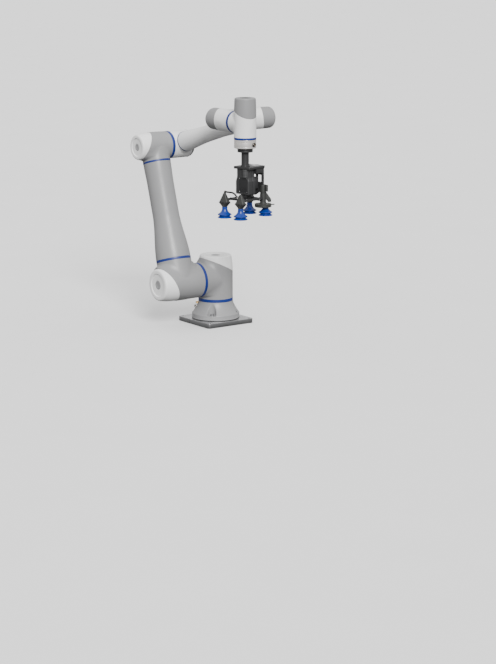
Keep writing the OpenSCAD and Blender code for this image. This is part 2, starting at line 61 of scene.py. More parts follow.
# ---------- places, from the frame ----------
def middle(node):
    low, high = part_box(node)
    return (low + high) / 2


def size(node):
    low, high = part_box(node)
    return high - low


def flat_direction(start, end):
    """Unit vector from start to end with its Y left out."""
    return Vector((end.x - start.x, 0, end.z - start.z)).normalized()


def local_frame(origin, z_axis, x_axis):
    y_axis = z_axis.cross(x_axis).normalized()
    matrix = Matrix((y_axis.cross(z_axis), y_axis, z_axis)).transposed().to_4x4()
    matrix.translation = origin
    return matrix


def turned(matrix, angle, axis="Z"):
    return matrix @ Matrix.Rotation(angle, 4, axis)


def moved(matrix, x=0, y=0, z=0):
    return matrix @ Matrix.Translation((x, y, z))


def lifted(z):
    """Frame on the arm's own axis, at a height."""
    return Matrix.Translation((0, 0, z))


RING = {n: middle(f"j{n}_seal_ring") for n in JOINTS}
RING_W = min(size("j1_seal_ring"))
RING_R = {n: max(size(f"j{n}_seal_ring")) / 2 - 0.2 * MM for n in JOINTS}
SEAT = RING_W / 2 + GAP  # from a ring's middle to the housings on its two sides
NECK_R = {n: RING_R[n] - 0.4 * MM for n in JOINTS}  # of the housing on a ring's other side
UPPER = flat_direction(RING[2], RING[3])
FORE = flat_direction(RING[3], RING[4])
CAP_SIDE = {1: Z, 2: -Y, 3: -Y, 4: Y, 5: -X, 6: Z}
LONG_SIDE = {1: Y, 2: -UPPER, 3: UPPER, 4: FORE, 5: -Y, 6: X}
JOINT = {n: local_frame(RING[n], CAP_SIDE[n], LONG_SIDE[n]) for n in JOINTS}
CAP_NODE = {1: "shoulder_cap", 2: "upper_arm_cap", 3: "elbow_cap", 4: "forearm_cap",
            5: "wrist_1_cap", 6: "wrist_2_cap"}
SEAM_AT = {1: 152 * MM, 2: 163 * MM, 3: 120 * MM, 4: 114 * MM, 5: 115 * MM, 6: 106 * MM}


def reach(node, origin, direction):
    """How far a node's box goes from origin along a direction that is parallel to a row axis."""
    return max((corner - origin).dot(direction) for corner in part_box(node))


CAP_PROUD = {1: 0, 2: 3 * MM, 3: 3 * MM, 4: 0, 5: 0, 6: 0}
CAP_END = {n: reach(CAP_NODE[n], RING[n], CAP_SIDE[n]) + CAP_PROUD[n] for n in JOINTS}
CAP_SMALLER = {1: 6 * MM, 2: 6 * MM, 3: 5 * MM, 4: 1 * MM, 5: 1 * MM, 6: 2 * MM}
CAP_RIM = {1: 8 * MM, 2: 10 * MM, 3: 8 * MM, 4: 12 * MM, 5: 12 * MM, 6: 6 * MM}
ARM_Y = middle("upper_arm_tube").y
FOREARM_Y = middle("forearm_trim").y
SHOULDER = Vector((0, ARM_Y, RING[2].z))
ELBOW = Vector((RING[3].x, ARM_Y, RING[3].z))
UPPER_FRAME = local_frame(SHOULDER, UPPER, Y)
FOREARM_FRAME = local_frame(Vector((RING[3].x, FOREARM_Y, RING[3].z)), FORE, Y)
UPPER_L = (ELBOW - SHOULDER).length
FOREARM_L = (RING[4] - RING[3]).dot(FORE)
BASE_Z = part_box("base_gasket")[0].z
BASE = lifted(BASE_Z)
TOOL = turned(Matrix.Translation((RING[6].x, RING[6].y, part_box("tool_flange")[0].z)), TOOL_TURN)


# ---------- mesh helpers ----------
def smooth_object(name, mesh, matrix, sharp_deg=38):
    for face in mesh.polygons:
        face.use_smooth = True
    mesh.set_sharp_from_angle(angle=radians(sharp_deg))
    piece = bpy.data.objects.new(name, mesh)
    bpy.context.scene.collection.objects.link(piece)
    piece.matrix_world = matrix
    return piece


def from_bmesh(name, bm, matrix):
    mesh = bpy.data.meshes.new(name)
    bm.to_mesh(mesh)
    bm.free()
    return smooth_object(name, mesh, matrix)


def finish_piece(piece, material, body, slot, *nodes):
    """Gives a piece its material and its body, and hides the CAD nodes that it replaces. slot is not used."""
    piece.data.materials.clear()
    piece.data.materials.append(material)
    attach(piece, body)
    if nodes:
        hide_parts(*nodes)
    return piece


def join(name, pieces, home=None):
    """One piece from several. Its local frame is home, or the first piece's."""
    bm = bmesh.new()
    home = home or pieces[0].matrix_world.copy()
    for piece in pieces:
        mesh = piece.data.copy()
        mesh.transform(home.inverted() @ piece.matrix_world)
        bm.from_mesh(mesh)
        bpy.data.objects.remove(piece)
        bpy.data.meshes.remove(mesh)
    return from_bmesh(name, bm, home)


def fillet(corners, steps=5):
    """Outline from (x, y, radius) corners, each rounded where its radius isn't 0."""
    points = []
    count = len(corners)
    for i, (x, y, radius) in enumerate(corners):
        here = np.array((x, y))
        before = np.array(corners[i - 1][:2])
        after = np.array(corners[(i + 1) % count][:2])
        if radius == 0:
            points.append((x, y))
            continue
        a = (before - here) / np.linalg.norm(before - here)
        b = (after - here) / np.linalg.norm(after - here)
        half = acos(max(-1, min(1, float(a @ b)))) / 2
        start = here + a * radius / tan(half)
        end = here + b * radius / tan(half)
        centre = here + (a + b) / np.linalg.norm(a + b) * radius / sin(half)
        for k in range(steps + 1):
            t = k / steps
            ray = (start - centre) * sin((1 - t) * (pi / 2 - half) * 2 + 1e-9)
            ray = ray + (end - centre) * sin(t * (pi / 2 - half) * 2 + 1e-9)
            ray = ray / np.linalg.norm(ray) * radius
            points.append(tuple(centre + ray))
    return points


def band(inner, outer, low, high, edge, top_edge=None):
    """Profile of a ring or disc with rounded outer edges."""
    top_edge = edge if top_edge is None else top_edge
    return fillet([(inner, low, 0), (outer, low, edge), (outer, high, top_edge), (inner, high, 0)])


def full_turn(count):
    return np.linspace(0, 2 * pi, count, endpoint=False)


def lathe(name, profile, matrix, segments=96, closed=False):
    """Turns (radius, height) points about local Z. A radius of 0 becomes a pole."""
    bm = bmesh.new()
    rings = []
    for radius, height in profile:
        if radius < 1e-7:
            rings.append([bm.verts.new((0, 0, height))])
            continue
        rings.append([bm.verts.new((radius * cos(a), radius * sin(a), height)) for a in full_turn(segments)])
    pairs = list(zip(rings, rings[1:])) + ([(rings[-1], rings[0])] if closed else [])
    for low, high in pairs:
        for k in range(segments):
            m = (k + 1) % segments
            corners = [low[k % len(low)], low[m % len(low)], high[m % len(high)], high[k % len(high)]]
            corners = list(dict.fromkeys(corners))
            if len(corners) > 2:
                bm.faces.new(corners)
    bmesh.ops.recalc_face_normals(bm, faces=bm.faces)
    return from_bmesh(name, bm, matrix)


def slab(name, outlines, thickness, bevel, matrix):
    """Plate with rounded edges from closed outlines, its edge first and then its holes.

    Local Z is 0 at the plate's middle.
    """
    curve = bpy.data.curves.new(name, "CURVE")
    curve.dimensions = "2D"
    curve.fill_mode = "BOTH"
    curve.extrude = thickness / 2 - bevel
    curve.bevel_depth = bevel
    curve.bevel_resolution = 2
    curve.offset = -bevel
    for k, outline in enumerate(outlines):
        area = sum(a[0] * b[1] - b[0] * a[1] for a, b in zip(outline, outline[1:] + outline[:1]))
        if (area > 0) != (k == 0):
            outline = outline[::-1]
        spline = curve.splines.new("POLY")
        spline.points.add(len(outline) - 1)
        for point, (x, y) in zip(spline.points, outline):
            point.co = (x, y, 0, 1)
        spline.use_cyclic_u = True
    draft = bpy.data.objects.new(name, curve)
    bpy.context.scene.collection.objects.link(draft)
    mesh = bpy.data.meshes.new_from_object(draft.evaluated_get(bpy.context.evaluated_depsgraph_get()))
    bpy.data.objects.remove(draft)
    bm = bmesh.new()
    bm.from_mesh(mesh)
    bmesh.ops.remove_doubles(bm, verts=bm.verts, dist=0.01 * MM)
    bpy.data.meshes.remove(mesh)
    return from_bmesh(name, bm, matrix)


def circle(x, y, radius, count=40, phase=0.0):
    return [(x + radius * cos(phase + 2 * pi * k / count),
             y + radius * sin(phase + 2 * pi * k / count)) for k in range(count)]


def rectangle(x0, x1, y0, y1, radius):
    return fillet([(x0, y0, radius), (x1, y0, radius), (x1, y1, radius), (x0, y1, radius)])


def centred(half_x, half_y, radius):
    return rectangle(-half_x, half_x, -half_y, half_y, radius)


def skin(bm, rings):
    """Faces between rings of as many points each, and one over each end."""
    for low, high in zip(rings, rings[1:]):
        for k in range(len(low)):
            m = (k + 1) % len(low)
            bm.faces.new((low[k], low[m], high[m], high[k]))
    bm.faces.new(rings[0][::-1])
    bm.faces.new(rings[-1])


def pipe(name, points, radius, matrix, sides=16):
    """Round tube along points, with closed ends."""
    bm = bmesh.new()
    path = [Vector(p) for p in points]
    side = (path[1] - path[0]).orthogonal().normalized()
    rings = []
    for k, point in enumerate(path):
        ahead = (path[min(k + 1, len(path) - 1)] - path[max(k - 1, 0)]).normalized()
        side = (side - ahead * side.dot(ahead)).normalized()
        other = ahead.cross(side)
        rings.append([bm.verts.new(point + (side * cos(a) + other * sin(a)) * radius)
                      for a in full_turn(sides)])
    skin(bm, rings)
    return from_bmesh(name, bm, matrix)


# ---------- smooth castings ----------
def ease(t):
    t = np.clip(t, 0, 1)
    return t * t * (3 - 2 * t)


def smooth_union(a, b, k):
    h = np.clip(0.5 + 0.5 * (b - a) / np.maximum(k, 1e-6), 0, 1)
    return b + (a - b) * h - k * h * (1 - h)


def gradient(field, points):
    d = 0.05 * MM
    return np.stack([(field(points + step) - field(points - step)) / (2 * d)
                     for step in np.eye(3) * d], -1)


def onto_surface(field, points, times=3):
    for _ in range(times):
        slope = gradient(field, points)
        points = points - slope * (field(points) / np.maximum((slope ** 2).sum(-1), 1e-6))[:, None]
    return points


def net(field, low, high, step):
    """Points and quads of the surface field = 0 in a box: one point in each cell that the surface crosses."""
    counts = [int(ceil((h - l) / step)) + 1 for l, h in zip(low, high)]
    axes = [l + step * np.arange(c) for l, c in zip(low, counts)]
    value = field(np.stack(np.meshgrid(*axes, indexing="ij"), -1).reshape(-1, 3)).reshape(counts)
    inside = value < 0
    cells = [c - 1 for c in counts]
    total, hits = np.zeros(cells + [3]), np.zeros(cells)
    for axis in range(3):
        others = [a for a in range(3) if a != axis]
        for i in (0, 1):
            for j in (0, 1):
                offset = np.zeros(3, int)
                offset[others[0]], offset[others[1]] = i, j
                near = tuple(slice(o, o + c) for o, c in zip(offset, cells))
                offset_far = offset + np.eye(3, dtype=int)[axis]
                far = tuple(slice(o, o + c) for o, c in zip(offset_far, cells))
                crossed = inside[near] != inside[far]
                t = np.where(crossed, value[near] / np.where(crossed, value[near] - value[far], 1), 0)
                place = np.broadcast_to(offset.astype(float), cells + [3]).copy()
                place[..., axis] += t
                total += place * crossed[..., None]
                hits += crossed
    active = hits > 0
    number = np.full(cells, -1)
    number[active] = np.arange(active.sum())
    corner = np.argwhere(active)
    points = np.array(low) + step * (corner + total[active] / hits[active][:, None])
    quads = []
    for axis in range(3):
        b, c = (axis + 1) % 3, (axis + 2) % 3
        near = [slice(None)] * 3
        far = [slice(None)] * 3
        near[axis], far[axis] = slice(0, -1), slice(1, None)
        edge = np.argwhere(inside[tuple(near)] != inside[tuple(far)])
        edge = edge[(edge[:, b] > 0) & (edge[:, c] > 0) & (edge[:, b] < cells[b]) & (edge[:, c] < cells[c])]
        around = []
        for i, j in ((1, 1), (0, 1), (0, 0), (1, 0)):
            cell = edge.copy()
            cell[:, b] -= i
            cell[:, c] -= j
            around.append(number[tuple(cell.T)])
        quad = np.stack(around, -1)
        outward = inside[tuple(edge.T)]
        quad[~outward] = quad[~outward][:, ::-1]
        quads.append(quad)
    return points, np.concatenate(quads)


def even_out(field, points, quads, times=4):
    """Moves the points towards the middle of their neighbours, along the surface."""
    ends = np.concatenate([quads[:, [k, (k + 1) % 4]] for k in range(4)])
    ends = np.concatenate([ends, ends[:, ::-1]])
    count = np.bincount(ends[:, 0], minlength=len(points))
    for _ in range(times):
        total = np.stack([np.bincount(ends[:, 0], points[ends[:, 1], a], len(points)) for a in range(3)], -1)
        points = onto_surface(field, 0.4 * points + 0.6 * total / np.maximum(count, 1)[:, None], 2)
    return points


def cut(bm, point, normal, rim, wall, near, lip=9 * MM):
    """Cuts an open skin by a plane. The edge is rounded, and turned in to show the wall's thickness."""
    normal = Vector(normal).normalized()
    point = Vector(point) - normal * rim
    everything = bm.verts[:] + bm.edges[:] + bm.faces[:]
    bmesh.ops.bisect_plane(bm, geom=everything, dist=near, plane_co=point, plane_no=normal, clear_outer=True)
    bm.normal_update()
    edges = [e for e in bm.edges
             if e.is_boundary and all(abs((v.co - point).dot(normal)) <= near for v in e.verts)]
    pairs = [(e.link_loops[0].vert, e.link_loops[0].link_loop_next.vert) for e in edges]
    inward = {}
    for vert in dict.fromkeys(v for pair in pairs for v in pair):
        out = vert.normal
        along = normal - out * normal.dot(out)
        vert.co -= along * ((vert.co - point).dot(normal) / max(along.length_squared, 1e-3))
        inward[vert] = -(out - normal * out.dot(normal)).normalized()
    profile = [(rim * sin(a), rim * (1 - cos(a))) for a in (0.52, 1.05, 1.57)]
    last = {v: v for v in inward}
    for ahead, aside in profile + [(rim, wall), (rim - lip, wall)]:
        fresh = {v: bm.verts.new(v.co + normal * ahead + inward[v] * aside) for v in inward}
        for a, b in pairs:
            bm.faces.new((last[b], last[a], fresh[a], fresh[b]))
        last = fresh


def casting(name, field, low, high, step, cuts, matrix):
    """The skin of a field in a box, cut open by planes whose edges show the wall."""
    points, quads = net(field, low, high, step)
    points = even_out(field, onto_surface(field, points), quads)
    bm = bmesh.new()
    verts = [bm.verts.new(p) for p in points]
    for quad in quads:
        bm.faces.new([verts[k] for k in quad])
    for point, normal in cuts:
        cut(bm, point, normal, 0.8 * MM, WALL, 0.2 * step)
    return from_bmesh(name, bm, matrix)


def seam_plane(n, side):
    """Plane between housing n and its cap, with its normal towards the part that is cut away."""
    normal = Vector((sin(SEAM_TILT), 0, cos(SEAM_TILT))) * side
    return Vector((0, 0, SEAM_AT[n] - side * GAP / 2)), normal


def shell_r(n, z):
    """Radius of joint n's barrel at a height: straight, then flared in towards the cap's rounded rim."""
    r, rim, rim_z = RING_R[n], CAP_RIM[n], CAP_END[n] - CAP_RIM[n]
    shoulder = SEAM_AT[n] - 0.35 * r
    skirt = r - CAP_SMALLER[n] * np.clip((z - shoulder) / (rim_z - shoulder), 0, 1) ** 2.2
    return skirt - rim + np.sqrt(rim ** 2 - np.clip(z - rim_z, 0, rim * 0.999) ** 2)


def housing_field(radius, barrel_r, height, neck_radius, neck_end, blend):
    """Barrel about Z with a neck along -X at a height, blended where they cross."""
    shift = -0.35 * radius

    def field(p):
        x, y, z = p[:, 0], p[:, 1], p[:, 2]
        s = -x
        barrel = np.hypot(x, y) - barrel_r(z)
        flat = np.hypot(y, z - height)
        neck = np.hypot(flat, np.maximum(x - shift, 0)) - neck_radius(s)
        alike = y * y / (np.maximum(np.hypot(x, y), 1e-6) * np.maximum(flat, 1e-6))
        # the fillet fades out towards the ring and the neck's end, so that both stay round
        calm = ease((z - RING_W / 2) / (26 * MM)) * ease((neck_end - s) / (22 * MM))
        return smooth_union(barrel, neck, blend * np.clip(1 - alike, 0, 1) * calm)

    return field


def housing(name, matrix, radius, height, neck_radius, neck_end, blend, far_cut, step=2.6 * MM, n=0):
    """Casting of one joint: barrel, neck and the fillet between them. n is the joint whose cap closes it."""
    barrel_r = (lambda z: shell_r(n, z)) if n else constant(radius)
    field = housing_field(radius, barrel_r, height, neck_radius, neck_end, blend)
    reach_side = radius + 3 * step
    far = far_cut[0].z + radius * abs(far_cut[1].x / far_cut[1].z) + 4 * step
    low = (-neck_end - 3 * step, -reach_side, -2 * step)
    high = (reach_side, reach_side, far)
    cuts = [(Vector((0, 0, SEAT)), -Z), (Vector((-neck_end, 0, 0)), -X), far_cut]
    return casting(name, field, low, high, step, cuts, matrix)


# ---------- materials ----------
def add(tree, kind, wires=(), **settings):
    """New node. wires are (socket, output) pairs, and a setting is an attribute or a socket's value."""
    node = tree.nodes.new(kind)
    for key, value in settings.items():
        if hasattr(node, key):
            setattr(node, key, value)
        else:
            node.inputs[key.replace("_", " ").title()].default_value = value
    for socket, output in wires:
        tree.links.new(output, node.inputs[socket])
    return node


def blank(name):
    """New material, its nodes, and the place of each point in its piece's own frame."""
    material = bpy.data.materials.new(name)
    material.use_nodes = True
    tree = material.node_tree
    return material, tree, add(tree, "ShaderNodeTexCoord").outputs["Object"]


def surface(material, wires, values):
    """Joins (socket, output) pairs to a material's shader, and sets its other values."""
    shader = material.node_tree.nodes["Principled BSDF"]
    for socket, output in wires:
        material.node_tree.links.new(output, shader.inputs[socket])
    for socket, value in values.items():
        shader.inputs[socket].default_value = value
    return material


def noise(tree, coordinates, scale, detail=3.0, roughness=0.55):
    return add(tree, "ShaderNodeTexNoise", [("Vector", coordinates)], scale=scale, detail=detail,
               roughness=roughness).outputs["Fac"]


def spread(tree, value, low, high, start=0.3, end=0.7):
    """Maps a 0 to 1 value to a range."""
    return add(tree, "ShaderNodeMapRange", [("Value", value)], from_min=start, from_max=end, to_min=low,
               to_max=high).outputs["Result"]


def uneven(tree, coordinates, scale, low, high):
    """A roughness that drifts between two values."""
    return spread(tree, noise(tree, coordinates, scale), low, high)


def tint(tree, factor, dark, light):
    node = add(tree, "ShaderNodeMix", [("Factor", factor)], data_type="RGBA")
    node.inputs["A"].default_value = (*dark, 1)
    node.inputs["B"].default_value = (*light, 1)
    return node.outputs["Result"]


def bump(tree, height, distance, strength, base=None):
    wires = [("Height", height)] + ([("Normal", base)] if base else [])
    return add(tree, "ShaderNodeBump", wires, strength=strength, distance=distance).outputs["Normal"]


def layered(tree, fine, share, broad):
    """A share of a fine pattern on top of a broad one."""
    node = add(tree, "ShaderNodeMath", [(0, fine), (2, broad)], operation="MULTIPLY_ADD")
    node.inputs[1].default_value = share
    return node.outputs["Value"]


def scaled(colour, factor):
    return tuple(c * factor for c in colour)


def stretched(tree, coordinates, scale):
    node = add(tree, "ShaderNodeMapping", [("Vector", coordinates)])
    node.inputs["Scale"].default_value = scale
    return node.outputs["Vector"]


def polar(tree, coordinates):
    """Radius from local Z and height along it, for turned metal."""
    split = add(tree, "ShaderNodeSeparateXYZ", [("Vector", coordinates)]).outputs
    flat = add(tree, "ShaderNodeCombineXYZ", [("X", split["X"]), ("Y", split["Y"])])
    length = add(tree, "ShaderNodeVectorMath", [(0, flat.outputs["Vector"])], operation="LENGTH")
    both = add(tree, "ShaderNodeCombineXYZ", [("X", length.outputs["Value"]), ("Y", split["Z"])])
    return both.outputs["Vector"]


def dusty(tree, colour, coordinates, amount):
    """Colour with a broad cloudy tone and a fine mottle."""
    both = layered(tree, noise(tree, coordinates, 160.0, 4.0), 0.45, noise(tree, coordinates, 7.0, 2.0))
    return tint(tree, spread(tree, both, 0, 1, 0.5, 0.95), scaled(colour, 1 - amount), colour)


def satin_paint(name, colour, roughness=0.42):
    """Fine powder coat on a casting: orange peel, a little dust and an uneven sheen."""
    material, tree, space = blank(name)
    peel = bump(tree, noise(tree, space, 420.0, 2.0), 0.12 * MM, 0.2)
    wires = [("Base Color", dusty(tree, colour, space, 0.07)),
             ("Roughness", uneven(tree, space, 22.0, roughness - 0.05, roughness + 0.07)),
             ("Normal", bump(tree, noise(tree, space, 1900.0, 2.0), 0.05 * MM, 0.25, peel))]
    return surface(material, wires, {"Specular IOR Level": 0.42, "Coat Weight": 0.12, "Coat Roughness": 0.25})


def moulded(name, colour, roughness=0.4, texture=0.3, coat=0.0):
    """Moulded plastic with a fine spark-eroded texture."""
    material, tree, space = blank(name)
    cells = add(tree, "ShaderNodeTexVoronoi", [("Vector", space)], scale=1500.0)
    soft = bump(tree, noise(tree, space, 600.0, 2.0), 0.06 * MM, texture)
    wires = [("Base Color", dusty(tree, colour, space, 0.06)),
             ("Roughness", uneven(tree, space, 30.0, roughness - 0.05, roughness + 0.06)),
             ("Normal", bump(tree, cells.outputs["Distance"], 0.05 * MM, texture, soft))]
    return surface(material, wires, {"Specular IOR Level": 0.45, "Coat Weight": coat, "Coat Roughness": 0.2})


def metal(name, colour, roughness, kind, depth=0.25, metallic=1.0):
    """Machined metal. kind is brushed (along local X), turned (round local Z) or cast."""
    material, tree, space = blank(name)
    if kind == "brushed":
        lines = noise(tree, stretched(tree, space, (6, 900, 900)), 1.0, 4.0, 0.7)
    elif kind == "turned":
        lines = noise(tree, stretched(tree, polar(tree, space), (1500, 1500, 1)), 1.0, 3.0, 0.65)
    else:
        lines = noise(tree, space, 900.0, 3.0, 0.6)
    both = layered(tree, lines, 0.6, noise(tree, space, 18.0))
    wires = [("Base Color", tint(tree, spread(tree, both, 0, 1, 0.5, 1.1), scaled(colour, 0.86), colour)),
             ("Roughness", spread(tree, both, roughness - 0.07, roughness + 0.08, 0.5, 1.1)),
             ("Normal", bump(tree, lines, 0.05 * MM, depth))]
    return surface(material, wires, {"Metallic": metallic})


def rubber(name, colour, roughness=0.55, sheen=0.1):
    """Soft rubber or silicone, with a dusty sheen and a slightly pebbled skin."""
    material, tree, space = blank(name)
    wires = [("Base Color", dusty(tree, colour, space, 0.12)),
             ("Roughness", uneven(tree, space, 60.0, roughness - 0.08, roughness + 0.08)),
             ("Normal", bump(tree, noise(tree, space, 1300.0), 0.08 * MM, 0.25))]
    return surface(material, wires, {"Sheen Weight": sheen, "Sheen Roughness": 0.5})


def windings(name):
    """Copper wire in clear resin: close parallel turns over a slow cloud."""
    material, tree, space = blank(name)
    wire = add(tree, "ShaderNodeTexWave", [("Vector", space)], scale=320.0, distortion=1.5,
               detail_scale=4.0).outputs["Fac"]
    wires = [("Base Color", tint(tree, wire, (0.16, 0.06, 0.02), (0.62, 0.29, 0.12))),
             ("Roughness", uneven(tree, space, 90.0, 0.28, 0.42)),
             ("Normal", bump(tree, wire, 0.2 * MM, 0.5))]
    return surface(material, wires, {"Metallic": 0.75, "Coat Weight": 0.5})


GREY_PAINT = satin_paint("grey_satin_paint", (0.25, 0.25, 0.253))
WHITE_PAINT = satin_paint("white_satin_paint", (0.82, 0.82, 0.815), 0.4)
WHITE_PLASTIC = moulded("white_moulding", (0.85, 0.85, 0.845), 0.38)
GREY_PLASTIC = moulded("grey_moulding", (0.235, 0.235, 0.238), 0.42)
PLUG_PLASTIC = moulded("plug_moulding", (0.3, 0.3, 0.305), 0.34)
RING_BLUE = moulded("ring_blue", (0.0015, 0.018, 0.16), 0.5, 0.15, 0.1)
TRIM_NAVY = moulded("trim_navy", (0.004, 0.02, 0.1), 0.32, 0.15, 0.1)
# The plate's alloy comes in two copies: a darker one for its body and sides, and a lighter one for its top
# face, whose brightness is painted reflection of the bright backdrop.
PLATE_ALLOY = metal("plate_alloy_sides", (0.3, 0.3, 0.305), 0.32, "brushed", 0.35)
PLATE_TOP_PAINTED_REFLECTION = metal("plate_top_painted_reflection", (0.66, 0.66, 0.67), 0.3, "brushed", 0.3)
FLANGE_ALLOY = metal("turned_flange", (0.9, 0.87, 0.84), 0.28, "turned", 0.3, 0.75)
BOLT_STEEL = metal("bolt_steel", (0.4, 0.4, 0.41), 0.3, "turned", 0.2)
GOLD = metal("gold_plate", (0.72, 0.48, 0.2), 0.28, "turned", 0.2)
DARK_NICKEL = metal("dark_nickel", (0.22, 0.21, 0.2), 0.32, "turned", 0.2)
BLACK_ANODISED = metal("black_anodised", (0.033, 0.033, 0.034), 0.36, "cast", 0.3, 0.3)
TOOL_PLASTIC = moulded("tool_moulding", (0.026, 0.026, 0.027), 0.44, 0.5)
PANEL_PLASTIC = moulded("panel_moulding", (0.014, 0.014, 0.015), 0.5, 0.6)
MOTOR_GREY = moulded("motor_case", (0.05, 0.05, 0.051), 0.38, 0.3)
# The bezel's light grey is partly its own grey and partly painted highlight on its lit top.
BEZEL_GREY_AND_HIGHLIGHT = moulded("bezel", (0.32, 0.32, 0.323), 0.36, 0.2)
GASKET = rubber("gasket_rubber", (0.006, 0.006, 0.006), 0.7)
HOSE = rubber("hose_rubber", (0.014, 0.014, 0.015), 0.42, 0.05)
CUP_BLUE = rubber("cup_silicone", (0.0006, 0.028, 0.225), 0.38, 0.0)
HOLDER_PLASTIC = moulded("holder_moulding", (0.03, 0.031, 0.029), 0.42, 0.4)
GEAR_STEEL = metal("gear_steel", (0.55, 0.55, 0.56), 0.28, "cast", 0.25)
ROTOR_STEEL = metal("rotor_steel", (0.34, 0.34, 0.35), 0.34, "cast", 0.25)
COPPER = windings("motor_windings")


# ---------- what every joint shows ----------
# A ring stands a hair proud of the housings and laps over their edges.
RING_PROUD, RING_LAP = 0.35 * MM, 1.6 * MM
FLANGE_RISE = 3 * MM  # the flange's upper edge covers this much of the lowest ring's seat
GREY_HALF = (1, 2, 3)  # joints whose castings are grey and whose caps are white
CAP_DISH = {1: 0.64, 2: 0.66, 3: 0.66, 4: 0.6, 5: 0.6, 6: 0.5}
# Joint 6's plug is a wide near-black disc of gasket rubber close under the cap's face: painted shade of the
# hole in its cap.
CAP_PLUG_PAINTED_SHADE = {6: (0.42, GASKET, 0.4 * MM)}


def seal_ring(n, body):
    r, half, edge = RING_R[n] + RING_PROUD, RING_W / 2 + RING_LAP, 0.4 * MM
    low = FLANGE_RISE - RING_W / 2 if n == 6 else -half
    piece = lathe(f"joint_{n}_ring", band(r - 8 * MM, r, low, half, edge), JOINT[n], 160, closed=True)
    finish_piece(piece, RING_BLUE, body, "ring_blue", f"j{n}_seal_ring")


def cap_face(n):
    """Outline of a cap's end, from its rim inwards: a shallow dish and the seat of its plug."""
    r, top, dish = RING_R[n], CAP_END[n], CAP_DISH[n]
    rim_end = r - CAP_SMALLER[n] - CAP_RIM[n]
    bottom, seat = top - 3.2 * MM, top - 5.2 * MM
    return fillet([(rim_end, top, 0), (r * dish, top, 1.2 * MM), (r * (dish - 0.035), bottom, 1.2 * MM),
                   (r * 0.27, bottom + 0.5 * MM, 0.6 * MM), (r * 0.262, seat, 0), (0, seat, 0)])


def cap(n, body):
    """Moulded cap: flared skirt, rounded rim, shallow dish and a plug in its middle."""
    material, slot = (WHITE_PLASTIC, "cap_white") if n in GREY_HALF else (GREY_PLASTIC, "cap_grey")
    plug_share, plug_material, sunk = CAP_PLUG_PAINTED_SHADE.get(n, (0.25, PLUG_PLASTIC, 2.4 * MM))
    r, top, rim = RING_R[n], CAP_END[n], CAP_RIM[n]
    heights = np.linspace(SEAM_AT[n] - r * 0.65, top - rim, 26)
    skirt = [(float(shell_r(n, z)), float(z)) for z in heights]
    centre = r - CAP_SMALLER[n] - rim
    edge = [(centre + rim * cos(a), top - rim + rim * sin(a)) for a in np.linspace(0, pi / 2, 14)[1:]]
    draft = lathe("cap_draft", skirt + edge + cap_face(n)[1:], JOINT[n], 160)
    bm = bmesh.new()
    bm.from_mesh(draft.data)
    bpy.data.objects.remove(draft)
    cut(bm, *seam_plane(n, -1), 0.7 * MM, WALL, 0.1 * MM)
    finish_piece(from_bmesh(f"joint_{n}_cap", bm, JOINT[n]), material, body, slot, CAP_NODE[n])
    plug_r, plug_top = r * plug_share, top - sunk
    plug = fillet([(plug_r, plug_top - 4 * MM, 0), (plug_r, plug_top, 0.8 * MM),
                   (plug_r * 0.62, plug_top, 0.4 * MM), (plug_r * 0.58, plug_top - 0.9 * MM, 0.4 * MM),
                   (0, plug_top - 0.9 * MM, 0)])
    finish_piece(lathe(f"joint_{n}_cap_plug", plug, JOINT[n], 64), plug_material, body, slot)


def constant(value):
    return lambda s: value


def joint(n, body, name, node, height, neck_radius, neck_end, blend, step=2.6 * MM):
    """Joint n's casting up to the seam of its cap, with its ring and cap."""
    material, slot = (GREY_PAINT, "casting_grey") if n in GREY_HALF else (WHITE_PAINT, "casting_white")
    piece = housing(name, JOINT[n], RING_R[n], height, neck_radius, neck_end, blend, seam_plane(n, 1),
                    step, n)
    finish_piece(piece, material, body, slot, node)
    seal_ring(n, body)
    cap(n, body)


# ---------- plate and base ----------
def mounting_plate():
    side, thickness = size("mounting_plate").x / 2, size("mounting_plate").z
    hole_at, hole_r = 105 * MM, 5.5 * MM
    places = [(x, y) for x in (-hole_at, hole_at) for y in (-hole_at, hole_at)]
    outlines = [centred(side, side, 12 * MM), circle(0, 0, 20 * MM)]
    outlines += [circle(*p, hole_r, 32) for p in places]
    piece = slab("square_plate", outlines, thickness, 1.0 * MM, lifted(thickness / 2))
    finish_piece(piece, PLATE_ALLOY, "base", "plate_alloy", "mounting_plate")
    # Thin top face in the lighter copy of the plate's alloy: painted reflection on the plate's top.
    inset = side - 1.4 * MM
    outlines = [centred(inset, inset, 11 * MM), circle(0, 0, 21 * MM)]
    outlines += [circle(*p, hole_r + 0.8 * MM, 32) for p in places]
    face = slab("plate_top_reflection_face", outlines, 0.6 * MM, 0.1 * MM, lifted(thickness - 0.15 * MM))
    finish_piece(face, PLATE_TOP_PAINTED_REFLECTION, "base", "plate_alloy")


def base_gasket():
    low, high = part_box("base_gasket")
    profile = band(62 * MM, high.x + 2.6 * MM, low.z, high.z, 0.8 * MM)
    piece = lathe("base_seal", profile, lifted(0), 128, closed=True)
    finish_piece(piece, GASKET, "base", "gasket_black", "base_gasket")


FLARE_LOW = 23 * MM
FLARE_HIGH = RING[1].z - BASE_Z - SEAT
FLANGE_R = size("base_housing").x / 2
POCKET_R = 20 * MM
POCKET_Z = 23 * MM


def flare_r(z):
    share = np.clip(1 - (z - FLARE_LOW) / (FLARE_HIGH - FLARE_LOW), 0, 1)
    return RING_R[1] + (FLANGE_R - RING_R[1]) * share ** 1.5


